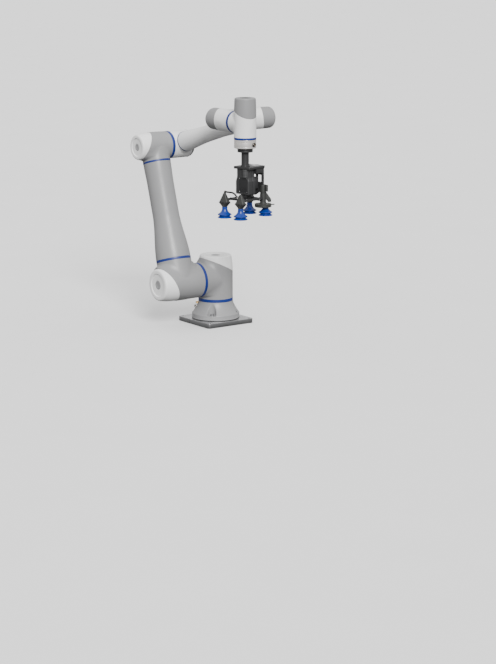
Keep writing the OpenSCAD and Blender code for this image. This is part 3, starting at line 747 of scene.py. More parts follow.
def base_field(p):
    x, y, z = p[:, 0], p[:, 1], p[:, 2]
    body = np.hypot(x, y) - flare_r(z)
    centre = (RING_R[1] + POCKET_R + 1 * MM) / sqrt(2)
    pocket = np.hypot(np.abs(x) - centre, np.abs(y) - centre) - POCKET_R
    pocket = -smooth_union(-pocket, z - POCKET_Z, 2 * MM)
    return -smooth_union(-body, pocket, 1.2 * MM * ease((FLARE_HIGH - z) / (8 * MM)))


def base_housing():
    step = 1.8 * MM
    side = FLANGE_R + 2 * step
    cuts = [(Vector((0, 0, 3 * MM)), -Z), (Vector((0, 0, FLARE_HIGH)), Z)]
    low, high = (-side, -side, -2 * step), (side, side, FLARE_HIGH + 3 * step)
    piece = casting("base_casting", base_field, low, high, step, cuts, BASE)
    finish_piece(piece, GREY_PAINT, "base", "casting_grey", "base_housing")


def socket_screw(name, matrix, radius, height, hex_r):
    """Cap screw's head: rounded rim and a hexagon socket. Local Z is 0 under the head."""
    depth = height * 0.55
    crown = slab(name + "_crown", [circle(0, 0, radius), circle(0, 0, hex_r, 6)], depth, 0.35 * MM,
                 moved(matrix, z=height - depth / 2))
    stem = fillet([(radius, 0, 0), (radius, height - depth, 0), (0, height - depth + 0.2 * MM, 0)])
    return [crown, lathe(name + "_stem", stem, matrix, 40)]


def base_bolts():
    heads, bolt_circle_r, washer_h = [], 90 * MM, 1.2 * MM
    washer = band(4.5 * MM, 9 * MM, 0, washer_h, 0.3 * MM)
    for angle in (45, 135, 225, 315):
        place = moved(turned(moved(BASE, z=POCKET_Z), radians(angle)), x=bolt_circle_r)
        heads.append(lathe("washer", washer, place, 40, closed=True))
        heads += socket_screw("bolt", moved(place, z=washer_h), 6.4 * MM, 6.8 * MM, 3.4 * MM)
    finish_piece(join("base_screw_heads", heads, BASE), BOLT_STEEL, "base", "bolt_steel", "base_bolts")


def connector(name, matrix, radius, length, material, body, slot, *nodes):
    """Round screw-in socket: knurled nut, sleeve and five gold pins."""
    teeth, knurl = 36, []
    for k in range(2 * teeth):
        r = radius if k % 2 else radius - 0.45 * MM
        knurl.append((r * cos(pi * k / teeth), r * sin(pi * k / teeth)))
    nut = slab(name + "_nut", [knurl, circle(0, 0, radius * 0.66)], length * 0.5, 0.25 * MM,
               moved(matrix, z=length * 0.35))
    outer, inner = radius * 0.72, radius * 0.56
    sleeve = fillet([(outer, -6 * MM, 0), (outer, length, 0.4 * MM), (inner, length, 0.3 * MM),
                     (inner, length * 0.5, 0), (0, length * 0.5, 0)])
    pieces = [nut, lathe(name + "_sleeve", sleeve, matrix, 48)]
    finish_piece(join(name, pieces), material, body, slot, *nodes)
    pin_at = radius * 0.32
    pin = fillet([(0.55 * MM, 0, 0), (0.55 * MM, 3.4 * MM, 0.2 * MM), (0, 3.4 * MM, 0)])
    pins = [lathe("pin", pin, moved(matrix, x=pin_at * cos(a), y=pin_at * sin(a), z=length * 0.5), 12)
            for a in full_turn(5)]
    finish_piece(join(name + "_pins", pins), GOLD, body, slot)


def base_connectors():
    turn = radians(-118)
    outward = Vector((cos(turn), sin(turn), 0))
    sockets = (53 * MM, 7 * MM, DARK_NICKEL), (69 * MM, 5.2 * MM, GOLD)
    for k, (height, radius, material) in enumerate(sockets):
        out = float(flare_r(height)) + 1 * MM
        place = local_frame(outward * out + Z * (BASE_Z + height), outward, Z)
        nodes = ["base_connectors"] if k == 0 else []
        connector(f"base_socket_{k + 1}", place, radius, 9 * MM, material, "base", "connector_gold", *nodes)


# ---------- shoulder ----------
def shoulder():
    joint(1, "shoulder", "shoulder_casting", "shoulder_housing", RING[2].z - RING[1].z,
          constant(NECK_R[2]), -RING[2].y - SEAT, 44 * MM)


# ---------- upper arm ----------
LOWER_TRIM = (98 * MM, 8 * MM)
UPPER_TRIM = (UPPER_L - 74 * MM, 5.5 * MM)
WAIST_R = 58 * MM


def upper_tube_r(s):
    """Radius of the upper arm's tube at a distance from the shoulder axis."""
    high = WAIST_R + (RING_R[3] - WAIST_R) * (1 - cos(pi * min(1, max(0, (s - 0.43) / 0.11)))) / 2
    low = (1 + cos(pi * min(1, max(0, (s - 0.1) / 0.21)))) / 2
    return high + (RING_R[2] - WAIST_R) * low


def trim_ring(name, matrix, radius, start, width, material, body, slot, *nodes):
    edge, proud, low, high = 0.4 * MM, radius + RING_PROUD, start - 1.4 * MM, start + width + 1.4 * MM
    profile = band(radius - WALL, proud, low, high, edge)
    finish_piece(lathe(name, profile, matrix, 144, closed=True), material, body, slot, *nodes)


def open_tube(name, matrix, radius_at, start, end, steps=90):
    """Tapered tube whose two ends have rounded edges and show the wall."""
    rim = 0.7 * MM
    first_r, last_r = radius_at(start), radius_at(end)
    outer = [(radius_at(float(s)), float(s)) for s in np.linspace(start + rim, end - rim, steps)]
    corner = [(rim * (1 - cos(a)), rim * sin(a)) for a in (0.5, 1.05, 1.57)]
    low_end = [(first_r - WALL, start + 9 * MM), (first_r - WALL, start)]
    low_end += [(first_r - c, start + rim - a) for c, a in corner[::-1]]
    high_end = [(last_r - c, end - rim + a) for c, a in corner]
    high_end += [(last_r - WALL, end), (last_r - WALL, end - 9 * MM)]
    return lathe(name, low_end + outer + high_end, matrix, 128)


def upper_arm():
    joint(2, "upper_arm", "lower_knuckle", "upper_arm_knuckle", RING[2].y - ARM_Y, constant(RING_R[2]),
          LOWER_TRIM[0] - GAP, 46 * MM)
    trim_ring("lower_clamp_ring", UPPER_FRAME, RING_R[2], *LOWER_TRIM, RING_BLUE, "upper_arm", "ring_blue",
              "upper_arm_trims")
    trim_ring("upper_clamp_ring", UPPER_FRAME, RING_R[3], *UPPER_TRIM, RING_BLUE, "upper_arm", "ring_blue")
    tube = open_tube("arm_tube", UPPER_FRAME, upper_tube_r, sum(LOWER_TRIM) + GAP, UPPER_TRIM[0] - GAP)
    finish_piece(tube, GREY_PAINT, "upper_arm", "casting_grey", "upper_arm_tube")
    joint(3, "upper_arm", "elbow_casting", "elbow_housing", RING[3].y - ARM_Y, constant(RING_R[3]),
          UPPER_L - UPPER_TRIM[0] - UPPER_TRIM[1] - GAP, 38 * MM)


# ---------- forearm ----------
FORE_TRIM = (63 * MM, 3 * MM)
ROOT_R = 44.5 * MM
FORE_WAIST_R = 36 * MM


def forearm_r(s):
    """Radius of the forearm's tube at a distance from the elbow axis; s is a number or an array."""
    swell = (1 - np.cos(np.pi * np.clip((s - 0.32) / 0.2, 0, 1))) / 2
    root = (1 + np.cos(np.pi * np.clip((s - 0.04) / 0.2, 0, 1))) / 2
    return FORE_WAIST_R + (ROOT_R - FORE_WAIST_R) * root + (RING_R[4] - 2.5 * MM - FORE_WAIST_R) * swell


def forearm_rear_cap(knuckle_end):
    depth, rim_r, end_r = 16 * MM, 13 * MM, RING_R[3] - 1.4 * MM
    start = knuckle_end + GAP
    wall = [(RING_R[3] - WALL, start + 6 * MM), (RING_R[3] - WALL, start), (RING_R[3] - 0.7 * MM, start),
            (RING_R[3] - 0.1 * MM, start + 0.7 * MM)]
    rim = [(end_r - rim_r + rim_r * cos(a), start + depth - rim_r + rim_r * sin(a))
           for a in np.linspace(0, pi / 2, 14)]
    top = start + depth
    face = fillet([(end_r - rim_r, top, 0), (end_r * 0.6, top, 1 * MM),
                   (end_r * 0.57, top - 1.4 * MM, 1 * MM), (0, top - 1.2 * MM, 0)])
    piece = lathe("elbow_rear_cap", wall + rim + face[1:], local_frame(RING[3], Y, -FORE), 144)
    finish_piece(piece, GREY_PLASTIC, "forearm", "cap_grey", "forearm_rear_cap")


def forearm():
    to_axis = FOREARM_Y - RING[3].y
    knuckle_end = to_axis + 38 * MM
    rear = local_frame(RING[3], Y, -FORE)
    knuckle = housing("forearm_root", rear, NECK_R[3], to_axis, constant(ROOT_R), FORE_TRIM[0] - GAP,
                      16 * MM, (Vector((0, 0, knuckle_end)), Z), 2.2 * MM)
    finish_piece(knuckle, WHITE_PAINT, "forearm", "casting_white", "forearm_knuckle")
    forearm_rear_cap(knuckle_end)
    trim_ring("forearm_seam_ring", FOREARM_FRAME, ROOT_R, *FORE_TRIM, TRIM_NAVY, "forearm", "trim_navy",
              "forearm_trim")
    joint(4, "forearm", "forearm_casting", "forearm_shell", FOREARM_Y - RING[4].y,
          lambda s: forearm_r(FOREARM_L - s), FOREARM_L - (sum(FORE_TRIM) + GAP), 36 * MM)


# ---------- wrists ----------
def wrists():
    joint(5, "wrist_1", "wrist_one_casting", "wrist_1_housing", RING[5].x - RING[4].x, constant(NECK_R[4]),
          RING[4].y - RING[5].y - SEAT, 30 * MM, 2 * MM)
    joint(6, "wrist_2", "wrist_two_casting", "wrist_2_housing", RING[5].z - RING[6].z, constant(NECK_R[5]),
          RING[6].x - RING[5].x - SEAT, 30 * MM, 2 * MM)


# ---------- tool flange ----------
def level(node):
    """Lowest and highest point of a node, above the tool flange's face."""
    face = TOOL.translation.z
    return tuple(corner.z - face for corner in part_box(node))


def at_tool(x=0.0, y=0.0, z=0.0):
    return moved(TOOL, x, y, z)


def facing(x=0.0, y=0.0, z=0.0):
    """Frame on the tool whose local Y is up and whose Z looks along the tool's -Y."""
    return turned(at_tool(x, y, z), pi / 2, "X")


def standing(name, outlines, thickness, bevel, y):
    """Plate that stands across the tool's Y."""
    return slab(name, outlines, thickness, bevel, facing(y=y))


def tool_piece(name, pieces, material, slot, *nodes):
    finish_piece(join(name, pieces), material, "tool", slot, *nodes)


def tool_screws(name, places, radius, height, hex_r, *nodes):
    heads = [part for place in places for part in socket_screw(name, place, radius, height, hex_r)]
    tool_piece(name, heads, BOLT_STEEL, "bolt_steel", *nodes)


BOSS_R, BOSS_H = 32.5 * MM, 7 * MM
SCREW_PLACES = circle(0, 0, 25 * MM, 4, pi / 4)
PORT_Z = 23 * MM


def tool_flange():
    """Turned shell with two pairs of shallow steps, a black boss under it and a socket on its side."""
    radius, top = NECK_R[6], RING[6].z - SEAT - TOOL.translation.z + FLANGE_RISE
    groove = [(height, depth) for height in (13 * MM, 33 * MM) for depth in (0.0, 0.7 * MM, 0.7 * MM, 0.0)]
    side = [(radius - depth, height + step * 0.5 * MM, 0.15 * MM)
            for (height, depth), step in zip(groove, (0, 0.4, 1.6, 2) * 2)]
    bore = 14 * MM
    side = [(bore, BOSS_H, 0), (radius, BOSS_H, 1.2 * MM)] + side + [(radius, top, 0.8 * MM), (bore, top, 0)]
    shell = lathe("flange_shell", fillet(side), TOOL, 160, closed=True)
    finish_piece(shell, FLANGE_ALLOY, "tool", "flange_silver", "tool_flange")
    boss = lathe("flange_boss", band(bore, BOSS_R, 0, BOSS_H, 0.8 * MM, 0), TOOL, 128, closed=True)
    finish_piece(boss, BLACK_ANODISED, "tool", "tool_black")
    outward = TOOL.to_3x3() @ X
    place = local_frame(at_tool(radius - 0.4 * MM, 0, PORT_Z).translation, outward, Z)
    connector("flange_socket", place, 9.5 * MM, 8.2 * MM, DARK_NICKEL, "tool", "connector_dark",
              "tool_connector")


# ---------- gripper: column and deck ----------
ADAPTER_R, ADAPTER_T = 32 * MM, 10 * MM
COUNTERBORE_R, COUNTERBORE_H = 5.2 * MM, 6 * MM
POST_R = 16 * MM
DECK_LOW, DECK_HIGH = level("gripper_deck")
DECK_X, DECK_Y0, DECK_Y1 = 44 * MM, -24 * MM, 77 * MM
OPENING = (6 * MM, 54 * MM)
OPENING_R = 18.8 * MM


def gripper_adapter():
    edge = circle(0, 0, ADAPTER_R, 96)
    seats = [circle(x, y, COUNTERBORE_R, 28) for x, y in SCREW_PLACES]
    lower = slab("adapter_face", [edge] + seats, COUNTERBORE_H, 0.5 * MM,
                 at_tool(z=-ADAPTER_T + COUNTERBORE_H / 2))
    upper = slab("adapter_back", [edge], ADAPTER_T - COUNTERBORE_H, 0.3 * MM,
                 at_tool(z=-(ADAPTER_T - COUNTERBORE_H) / 2))
    collar_r, collar_top = POST_R + 3 * MM, DECK_HIGH + 4 * MM
    post = fillet([(0, DECK_HIGH, 0), (collar_r, DECK_HIGH, 0), (collar_r, collar_top, 0.6 * MM),
                   (POST_R, collar_top, 0.8 * MM), (POST_R, -ADAPTER_T - 3 * MM, 2 * MM),
                   (POST_R + 2 * MM, -ADAPTER_T, 0), (0, -ADAPTER_T, 0)])
    column = lathe("adapter_post", post, TOOL, 96)
    tool_piece("adapter", [lower, upper, column], BLACK_ANODISED, "tool_black", "gripper_adapter")
    places = [turned(at_tool(x, y, COUNTERBORE_H - ADAPTER_T), pi, "X") for x, y in SCREW_PLACES]
    tool_screws("adapter_heads", places, 4.9 * MM, COUNTERBORE_H - 0.4 * MM, 2.5 * MM, "adapter_screws")


def gripper_deck():
    edge = rectangle(-DECK_X, DECK_X, DECK_Y0, DECK_Y1, 5 * MM)
    screws = [(x, y) for x in (-37 * MM, 37 * MM) for y in (-17 * MM, 24 * MM, 70 * MM)]
    holes = [circle(*OPENING, OPENING_R + 0.2 * MM, 72)] + [circle(*screw, 2.6 * MM, 20) for screw in screws]
    plate = slab("deck_plate", [edge] + holes, DECK_HIGH - DECK_LOW, 1.0 * MM,
                 at_tool(z=(DECK_LOW + DECK_HIGH) / 2))
    finish_piece(plate, BLACK_ANODISED, "tool", "tool_black", "gripper_deck")
    places = [at_tool(*screw, DECK_HIGH - 2.4 * MM) for screw in screws]
    tool_screws("deck_heads", places, 2.4 * MM, 2.2 * MM, 1.3 * MM)
    rim = DECK_HIGH + 2 * MM
    ring = fillet([(15 * MM, DECK_LOW, 0), (OPENING_R, DECK_LOW, 0.3 * MM), (OPENING_R, DECK_HIGH, 0),
                   (21 * MM, DECK_HIGH, 0), (21 * MM, rim, 0.8 * MM), (16 * MM, rim, 1.2 * MM),
                   (15 * MM, rim - 3 * MM, 0)])
    # Light grey ring: its own grey, with painted highlight round the opening.
    piece = lathe("deck_ring", ring, at_tool(*OPENING), 96, closed=True)
    finish_piece(piece, BEZEL_GREY_AND_HIGHLIGHT, "tool", "tool_grey", "deck_bezel")


# ---------- gripper: pump ----------
PUMP_X, PUMP_NECK_X = 36 * MM, 30 * MM
PUMP_Y0, PUMP_Y1 = -18 * MM, 24 * MM
PUMP_LOW, PUMP_HIGH = level("pump_body")
PUMP_SHOULDER, PUMP_FOOT = DECK_LOW - 34 * MM, DECK_LOW - 50 * MM
MOTOR_X, MOTOR_R, MOTOR_RISE = 17 * MM, 11 * MM, 16 * MM
PANEL = (-19 * MM, 31 * MM, PUMP_LOW + 6 * MM, PUMP_LOW + 73 * MM)


def pump_outline(inset, radius):
    x, neck, low, high = PUMP_X - inset, PUMP_NECK_X - inset, PUMP_LOW + inset, PUMP_HIGH - inset
    bend = 6 * MM
    return fillet([(x, low, radius), (x, PUMP_FOOT, bend), (neck, PUMP_SHOULDER, bend), (neck, high, radius),
                   (-neck, high, radius), (-neck, PUMP_SHOULDER, bend), (-x, PUMP_FOOT, bend),
                   (-x, low, radius)])


def panel_edge(inset, radius):
    x0, x1, z0, z1 = PANEL
    return rectangle(x0 + inset, x1 - inset, z0 + inset, z1 - inset, radius)


def pump_body():
    depth, split = PUMP_Y1 - PUMP_Y0, 0.8 * MM
    front_t = depth * 0.58
    back_t = depth - front_t - split
    front = standing("pump_front", [pump_outline(0, 3 * MM)], front_t, 2.6 * MM, PUMP_Y0 + front_t / 2)
    back = standing("pump_back", [pump_outline(0, 3 * MM)], back_t, 1.4 * MM, PUMP_Y1 - back_t / 2)
    web_edge = pump_outline(1.6 * MM, 2 * MM)
    web = standing("pump_web", [web_edge], depth - 12 * MM, 0.4 * MM, PUMP_Y0 + depth / 2)
    tool_piece("pump_case", [front, back, web], TOOL_PLASTIC, "tool_grey", "pump_body")
    # Lighter grey frame round the pump's front: painted highlight along its rounded front edges.
    highlight_rim_edges = [pump_outline(1.8 * MM, 2 * MM), pump_outline(4.6 * MM, 2 * MM)]
    rim = standing("pump_highlight_rim", highlight_rim_edges, 1.6 * MM, 0.4 * MM, PUMP_Y0 - 0.2 * MM)
    finish_piece(rim, MOTOR_GREY, "tool", "tool_grey")


def pump_panel():
    """Ribbed cover on the pump's front, in a raised border, with a screw in each corner."""
    x0, x1, z0, z1 = PANEL
    edges = [panel_edge(0, 3 * MM), panel_edge(3 * MM, 2 * MM)]
    border = standing("pump_border", edges, 2.4 * MM, 0.5 * MM, PUMP_Y0 - 0.4 * MM)
    finish_piece(border, TOOL_PLASTIC, "tool", "tool_grey")
    cover = standing("pump_cover", [panel_edge(2 * MM, 2 * MM)], 2 * MM, 0.2 * MM, PUMP_Y0 + 0.3 * MM)
    ribs = []
    for z in np.linspace(z0 + 10 * MM, z0 + 26 * MM, 5):
        edge = rectangle(x0 + 8 * MM, x1 - 8 * MM, z - 0.7 * MM, z + 0.7 * MM, 0.6 * MM)
        ribs.append(standing("rib", [edge], 0.8 * MM, 0.2 * MM, PUMP_Y0 - 0.8 * MM))
    tool_piece("pump_panel", [cover] + ribs, PANEL_PLASTIC, "tool_grey")
    places = [facing(x, PUMP_Y0 - 0.7 * MM, z) for x in (x0 + 5.4 * MM, x1 - 5.4 * MM)
              for z in (z0 + 5.4 * MM, z1 - 5.4 * MM)]
    tool_screws("pump_panel_heads", places, 1.7 * MM, 1.1 * MM, 0.9 * MM)


def pump_motor():
    """Round can with two fine grooves. It ends MOTOR_RISE higher than its CAD node."""
    low, high = level("pump_motor")
    low += MOTOR_RISE
    boss, groove = MOTOR_R - 1.2 * MM, MOTOR_R - 0.7 * MM
    side = [(0, low, 0), (boss, low, 0.5 * MM), (boss, low + 2 * MM, 0), (MOTOR_R, low + 2 * MM, 0.3 * MM)]
    for z in (low + 9 * MM, high - 9 * MM):
        side += [(MOTOR_R, z - 0.9 * MM, 0.2 * MM), (groove, z - 0.7 * MM, 0), (groove, z + 0.7 * MM, 0),
                 (MOTOR_R, z + 0.9 * MM, 0.2 * MM)]
    side = fillet(side + [(MOTOR_R, high, 0.6 * MM), (0, high, 0)])
    can = lathe("motor_can", side, at_tool(MOTOR_X, PUMP_Y0), 72)
    finish_piece(can, MOTOR_GREY, "tool", "tool_grey", "pump_motor")


# ---------- gripper: sizes of its lower end ----------
CUP_Z = level("suction_cups")[0]
CUP_X, CUP_Y = 43.5 * MM, 78.5 * MM
CUP_H, CUP_R = 46 * MM, 28.6 * MM
HOLDER_Z, HOLDER_H, HOLDER_T = CUP_Z + CUP_H, 58 * MM, 22 * MM
KITE_X = 21 * MM
RAIL_Z, RAIL = HOLDER_Z + 24 * MM, 9 * MM
FOOT = (CUP_X - 6.5 * MM, CUP_Y - 8 * MM)
FOOT_R, FOOT_LOW, FOOT_T = 35 * MM, CUP_Z + 36 * MM, 14 * MM
FOOT_POST_R, FOOT_POST_TOP = 13 * MM, CUP_Z + 130 * MM
KNOB = (FOOT[0] + 20 * MM, FOOT[1])
HELD = ((-CUP_X, -CUP_Y), (CUP_X, -CUP_Y), (-CUP_X, CUP_Y))
HOSE_R, HOSE_BEND, HOSE_TURN, HOSE_START = 3.8 * MM, 35 * MM, radians(58), 36.5 * MM


# ---------- gripper: frame and valve block ----------
FRAME_X0, FRAME_X1, FRAME_Y, FRAME_T = -30 * MM, 41 * MM, 63 * MM, 10 * MM
LEG_X0, LEG_X1 = -2 * MM, 23 * MM
WINDOW_LOW, WINDOW_HIGH, WINDOW_W = DECK_LOW - 59 * MM, DECK_LOW - 29 * MM, 23 * MM


def gripper_frame():
    low, high = level("gripper_frame")
    leg_top = FOOT_POST_TOP + GAP
    outline = fillet([(FRAME_X0, high, 0.5 * MM), (FRAME_X0, low, 3 * MM), (LEG_X0, low, 3 * MM),
                      (LEG_X1, PUMP_LOW + 5 * MM, 3 * MM), (LEG_X1, leg_top, 2 * MM),
                      (FRAME_X1, leg_top, 2 * MM), (FRAME_X1, high, 0.5 * MM)])
    windows = [rectangle(x, x + WINDOW_W, WINDOW_LOW, WINDOW_HIGH, 1.2 * MM) for x in (-20 * MM, 10 * MM)]
    wall = standing("frame_wall", [outline] + windows, FRAME_T, 0.8 * MM, FRAME_Y + FRAME_T / 2)
    beam = standing("frame_beam", [rectangle(22 * MM, FRAME_X1, high - 20 * MM, high, 1.2 * MM)],
                    FRAME_Y - PUMP_Y1 - 0.6 * MM, 0.6 * MM, (FRAME_Y + PUMP_Y1) / 2)
    tool_piece("frame", [wall, beam], BLACK_ANODISED, "tool_black", "gripper_frame")
    places = [turned(at_tool(x, FRAME_Y + FRAME_T, z), -pi / 2, "X")
              for x in (-25 * MM, 5 * MM, 36 * MM) for z in (WINDOW_HIGH + 14 * MM, WINDOW_LOW - 8 * MM)]
    tool_screws("frame_heads", places, 2.7 * MM, 2 * MM, 1.4 * MM)


def valve_block():
    low, high = level("valve_block")
    y = (PUMP_Y1 + FRAME_Y - 7 * MM) / 2
    body = standing("valve_case", [rectangle(-24 * MM, 24 * MM, low, high, 2 * MM)], 31.6 * MM, 1 * MM, y)
    lids = [slab("valve_lid", [rectangle(x - 9 * MM, x + 9 * MM, y - 13 * MM, y + 13 * MM, 2 * MM)],
                 3 * MM, 0.6 * MM, at_tool(z=high + 1 * MM)) for x in (-11.5 * MM, 11.5 * MM)]
    tool_piece("valves", [body] + lids, TOOL_PLASTIC, "tool_black", "valve_block")
    tube = fillet([(0, 0, 0), (4 * MM, 0, 0), (4 * MM, 5 * MM, 0.5 * MM), (2.4 * MM, 5 * MM, 0.4 * MM),
                   (2.4 * MM, 1 * MM, 0), (0, 1 * MM, 0)])
    ports = [lathe("port", tube, turned(at_tool(-23.8 * MM, y, low + z), -pi / 2, "Y"), 28)
             for z in (13 * MM, 31 * MM)]
    tool_piece("valve_ports", ports, DARK_NICKEL, "connector_dark")


# ---------- gripper: arms, holders, cups and hoses ----------
def cup_arms():
    half = RAIL / 2
    across, cross_y = CUP_X - half, (-40 * MM, 40 * MM)
    bars = []
    for x, end in ((-CUP_X, CUP_Y - 12 * MM), (CUP_X, FOOT[1] - FOOT_POST_R)):
        edge = rectangle(x - half, x + half, RAIL_Z, RAIL_Z + RAIL, 0.8 * MM)
        bars.append(standing("rail", [edge], end + CUP_Y - 12 * MM, 0.6 * MM, (end - CUP_Y + 12 * MM) / 2))
    for y in cross_y:
        edge = rectangle(-across, across, RAIL_Z, RAIL_Z + RAIL, 0.5 * MM)
        bars.append(standing("cross_rail", [edge], RAIL, 0.6 * MM, y))
    edge = rectangle(-14 * MM, 14 * MM, RAIL_Z + RAIL, PUMP_LOW - 0.2 * MM, 1.5 * MM)
    bars.append(standing("pedestal", [edge], 30 * MM, 0.8 * MM, 3 * MM))
    edge = rectangle(-across, across, RAIL_Z + 1 * MM, RAIL_Z + 7 * MM, 1 * MM)
    bars.append(standing("pedestal_foot", [edge], 30 * MM, 0.6 * MM, 3 * MM))
    tool_piece("arms", bars, BLACK_ANODISED, "tool_black", "cup_arms")
    places = [at_tool(x, y, RAIL_Z + RAIL) for x in (-CUP_X, CUP_X) for y in cross_y]
    tool_screws("arm_heads", places, 2.7 * MM, 2.4 * MM, 1.4 * MM)


def taper(z, wide):
    """Half width of a holder at a height: wide low down, narrow at both ends, with eased corners."""
    at, widths = (0, 15 * MM, 20 * MM, HOLDER_H), (8 * MM, wide, wide, 4 * MM)
    return sum(np.interp(z + shift, at, widths) for shift in (-1.6 * MM, 0, 1.6 * MM)) / 3


def kite(x, y):
    """Holder of one cup: a block like two pyramids foot to foot, and its round stem."""
    bm = bmesh.new()
    rings = []
    for z in np.linspace(0, HOLDER_H, 40):
        half_x, half_y = taper(z, KITE_X), taper(z, HOLDER_T / 2)
        rings.append([bm.verts.new((a, b, z)) for a, b in centred(half_x, half_y, 2 * MM)])
    skin(bm, rings)
    block = from_bmesh("kite_block", bm, at_tool(x, y, HOLDER_Z))
    stem = fillet([(0, -0.2 * MM, 0), (10.5 * MM, -0.2 * MM, 0.8 * MM), (10.5 * MM, 9 * MM, 0.8 * MM),
                   (9 * MM, 12 * MM, 0), (0, 12 * MM, 0)])
    return [block, lathe("kite_stem", stem, at_tool(x, y, HOLDER_Z), 48)]


def kite_pins(x, y):
    """The two dark pivots at a kite's side corners, and the screw in its middle."""
    pins = []
    half, z = HOLDER_T / 2 + 1 * MM, HOLDER_Z + 17.5 * MM
    profile = band(0, 4.2 * MM, -half, half, 1 * MM)
    for side in (-1, 1):
        pins.append(lathe("pin", profile, facing(x + side * (KITE_X - 3 * MM), y, z), 28))
        place = turned(facing(x, y, z), 0 if side < 0 else pi, "Y")
        pins += socket_screw("kite_screw", moved(place, z=half - 1.4 * MM), 3.4 * MM, 1.6 * MM, 1.7 * MM)
    return pins


def foot():
    """Round foot over the fourth cup, with its post, a knob on a bridge, a slanted wing and a rod."""
    z, r, post_r, top = FOOT_LOW, FOOT_R, FOOT_POST_R, FOOT_POST_TOP
    disc = fillet([(0, z, 0), (r, z, 1.4 * MM), (r, z + 8 * MM, 0.4 * MM),
                   (r - 1 * MM, z + 8.6 * MM, 0.2 * MM), (r - 1 * MM, z + 9.6 * MM, 0.2 * MM),
                   (r, z + 10.2 * MM, 0.4 * MM), (r, z + FOOT_T, 1.2 * MM),
                   (post_r + 4 * MM, z + FOOT_T, 1.5 * MM), (post_r, z + FOOT_T + 5 * MM, 1.5 * MM),
                   (post_r, z + 56 * MM, 0.5 * MM), (post_r - 1 * MM, z + 57 * MM, 0.4 * MM),
                   (post_r - 1 * MM, z + 59 * MM, 0.4 * MM), (post_r, z + 60 * MM, 0.5 * MM),
                   (post_r, top, 1.5 * MM), (0, top, 0)])
    body = lathe("foot_body", disc, at_tool(*FOOT), 96)
    knob = band(0, 6 * MM, top - 28 * MM, top, 1 * MM, 1.5 * MM)
    knob = lathe("foot_knob", knob, at_tool(*KNOB), 40)
    edge = rectangle(FOOT[0] + 6 * MM, KNOB[0], FOOT[1] - 4 * MM, FOOT[1] + 4 * MM, 1 * MM)
    bridge = slab("foot_bridge", [edge], 12 * MM, 0.6 * MM, at_tool(z=top - 14 * MM))
    slanted = turned(at_tool(*FOOT), radians(45))
    wing = fillet([(5 * MM, z + 40 * MM, 0), (r - 13 * MM, z + 20 * MM, 1 * MM),
                   (r - 1 * MM, z + 20 * MM, 2 * MM), (r - 1 * MM, z + 33 * MM, 2 * MM),
                   (5 * MM, z + 74 * MM, 1 * MM)])
    wing = slab("foot_wing", [wing], 8 * MM, 0.8 * MM, turned(slanted, pi / 2, "X"))
    rod_z = z + FOOT_T - 4 * MM
    rod = pipe("foot_rod", [(20 * MM, 0, rod_z), (48 * MM, 0, rod_z)], 2.5 * MM, slanted, 20)
    return [body, knob, bridge, wing, rod]


def cup_holders():
    pieces, pins = foot(), []
    for x, y in HELD:
        pieces += kite(x, y)
        pins += kite_pins(x, y)
    tool_piece("holders", pieces, HOLDER_PLASTIC, "holder_plastic", "cup_holders")
    tool_piece("holder_pins", pins, PANEL_PLASTIC, "tool_black")


def suction_cup(x, y):
    """Bellows cup: slim neck, concave bell, one wide fold and a thin flared lip, hollow underneath."""
    top, r = CUP_H / MM - 0.3, CUP_R / MM
    outside = [(11.4, top, 0.6), (11.4, 36, 6), (14.5, 27, 7), (20.5, 20.5, 6), (r, 15.2, 1), (r, 12.4, 0.8),
               (r - 8, 7.6, 0.9), (r + 0.4, 3, 0.8), (r + 0.4, 0, 0.5)]
    inside = [(r - 1.6, 0, 0.3), (r - 9.5, 6.6, 0.8), (r - 3, 12.4, 0.5), (18, 15.4, 2), (11, 22, 3),
              (4, 30, 1)]
    profile = [(0, top)] + fillet([(0, top, 0)] + outside + inside + [(0, 30.4, 0)])[1:-1] + [(0, 30.4)]
    return lathe("cup", [(a * MM, b * MM) for a, b in profile], at_tool(x, y, CUP_Z), 96)


def suction_cups():
    places = [(x, y) for x in (-CUP_X, CUP_X) for y in (-CUP_Y, CUP_Y)]
    tool_piece("cups", [suction_cup(x, y) for x, y in places], CUP_BLUE, "cup_blue", "suction_cups")
    nuts = [slab("cup_nut", [circle(x, y, 6 * MM, 6)], 3 * MM, 0.3 * MM, at_tool(z=CUP_Z + 29.4 * MM))
            for x, y in places]
    tool_piece("cup_nuts", nuts, BOLT_STEEL, "bolt_steel")


def vacuum_hoses():
    z = HOLDER_Z + HOLDER_H + HOSE_R + GAP
    start, bend = -7 * MM - HOSE_START, (-7 * MM, z - HOSE_BEND)
    arc = [(bend[0] + HOSE_BEND * sin(a), bend[1] + HOSE_BEND * cos(a))
           for a in np.linspace(0, HOSE_TURN, 13)]
    tail = (arc[-1][0] + 8 * MM * cos(HOSE_TURN), arc[-1][1] - 8 * MM * sin(HOSE_TURN))
    route = [(x, -CUP_Y, height) for x, height in [(start, z)] + arc + [tail]]
    lines = [pipe("long_hose", route, HOSE_R, TOOL, 24)]
    for rise in (60 * MM, 67 * MM):
        ends = [(x, CUP_Y - 4 * MM, CUP_Z + rise) for x in (-21.8 * MM, 23.6 * MM)]
        lines.append(pipe("short_hose", ends, 2 * MM, TOOL, 18))
    tool_piece("hoses", lines, HOSE, "hose_black", "vacuum_hoses")
    collars = []
    last_way = (-cos(HOSE_TURN), sin(HOSE_TURN))
    for (x, y, height), (dx, dz) in ((route[0], (1, 0)), (route[-1], last_way)):
        ahead = TOOL.to_3x3() @ Vector((dx, 0, dz))
        place = local_frame(at_tool(x, y, height).translation, ahead, TOOL.to_3x3() @ Y)
        ring = band(HOSE_R, HOSE_R + 1.6 * MM, 0, 5 * MM, 0.4 * MM)
        collars.append(lathe("collar", ring, place, 32, closed=True))
    tool_piece("hose_collars", collars, DARK_NICKEL, "connector_dark")


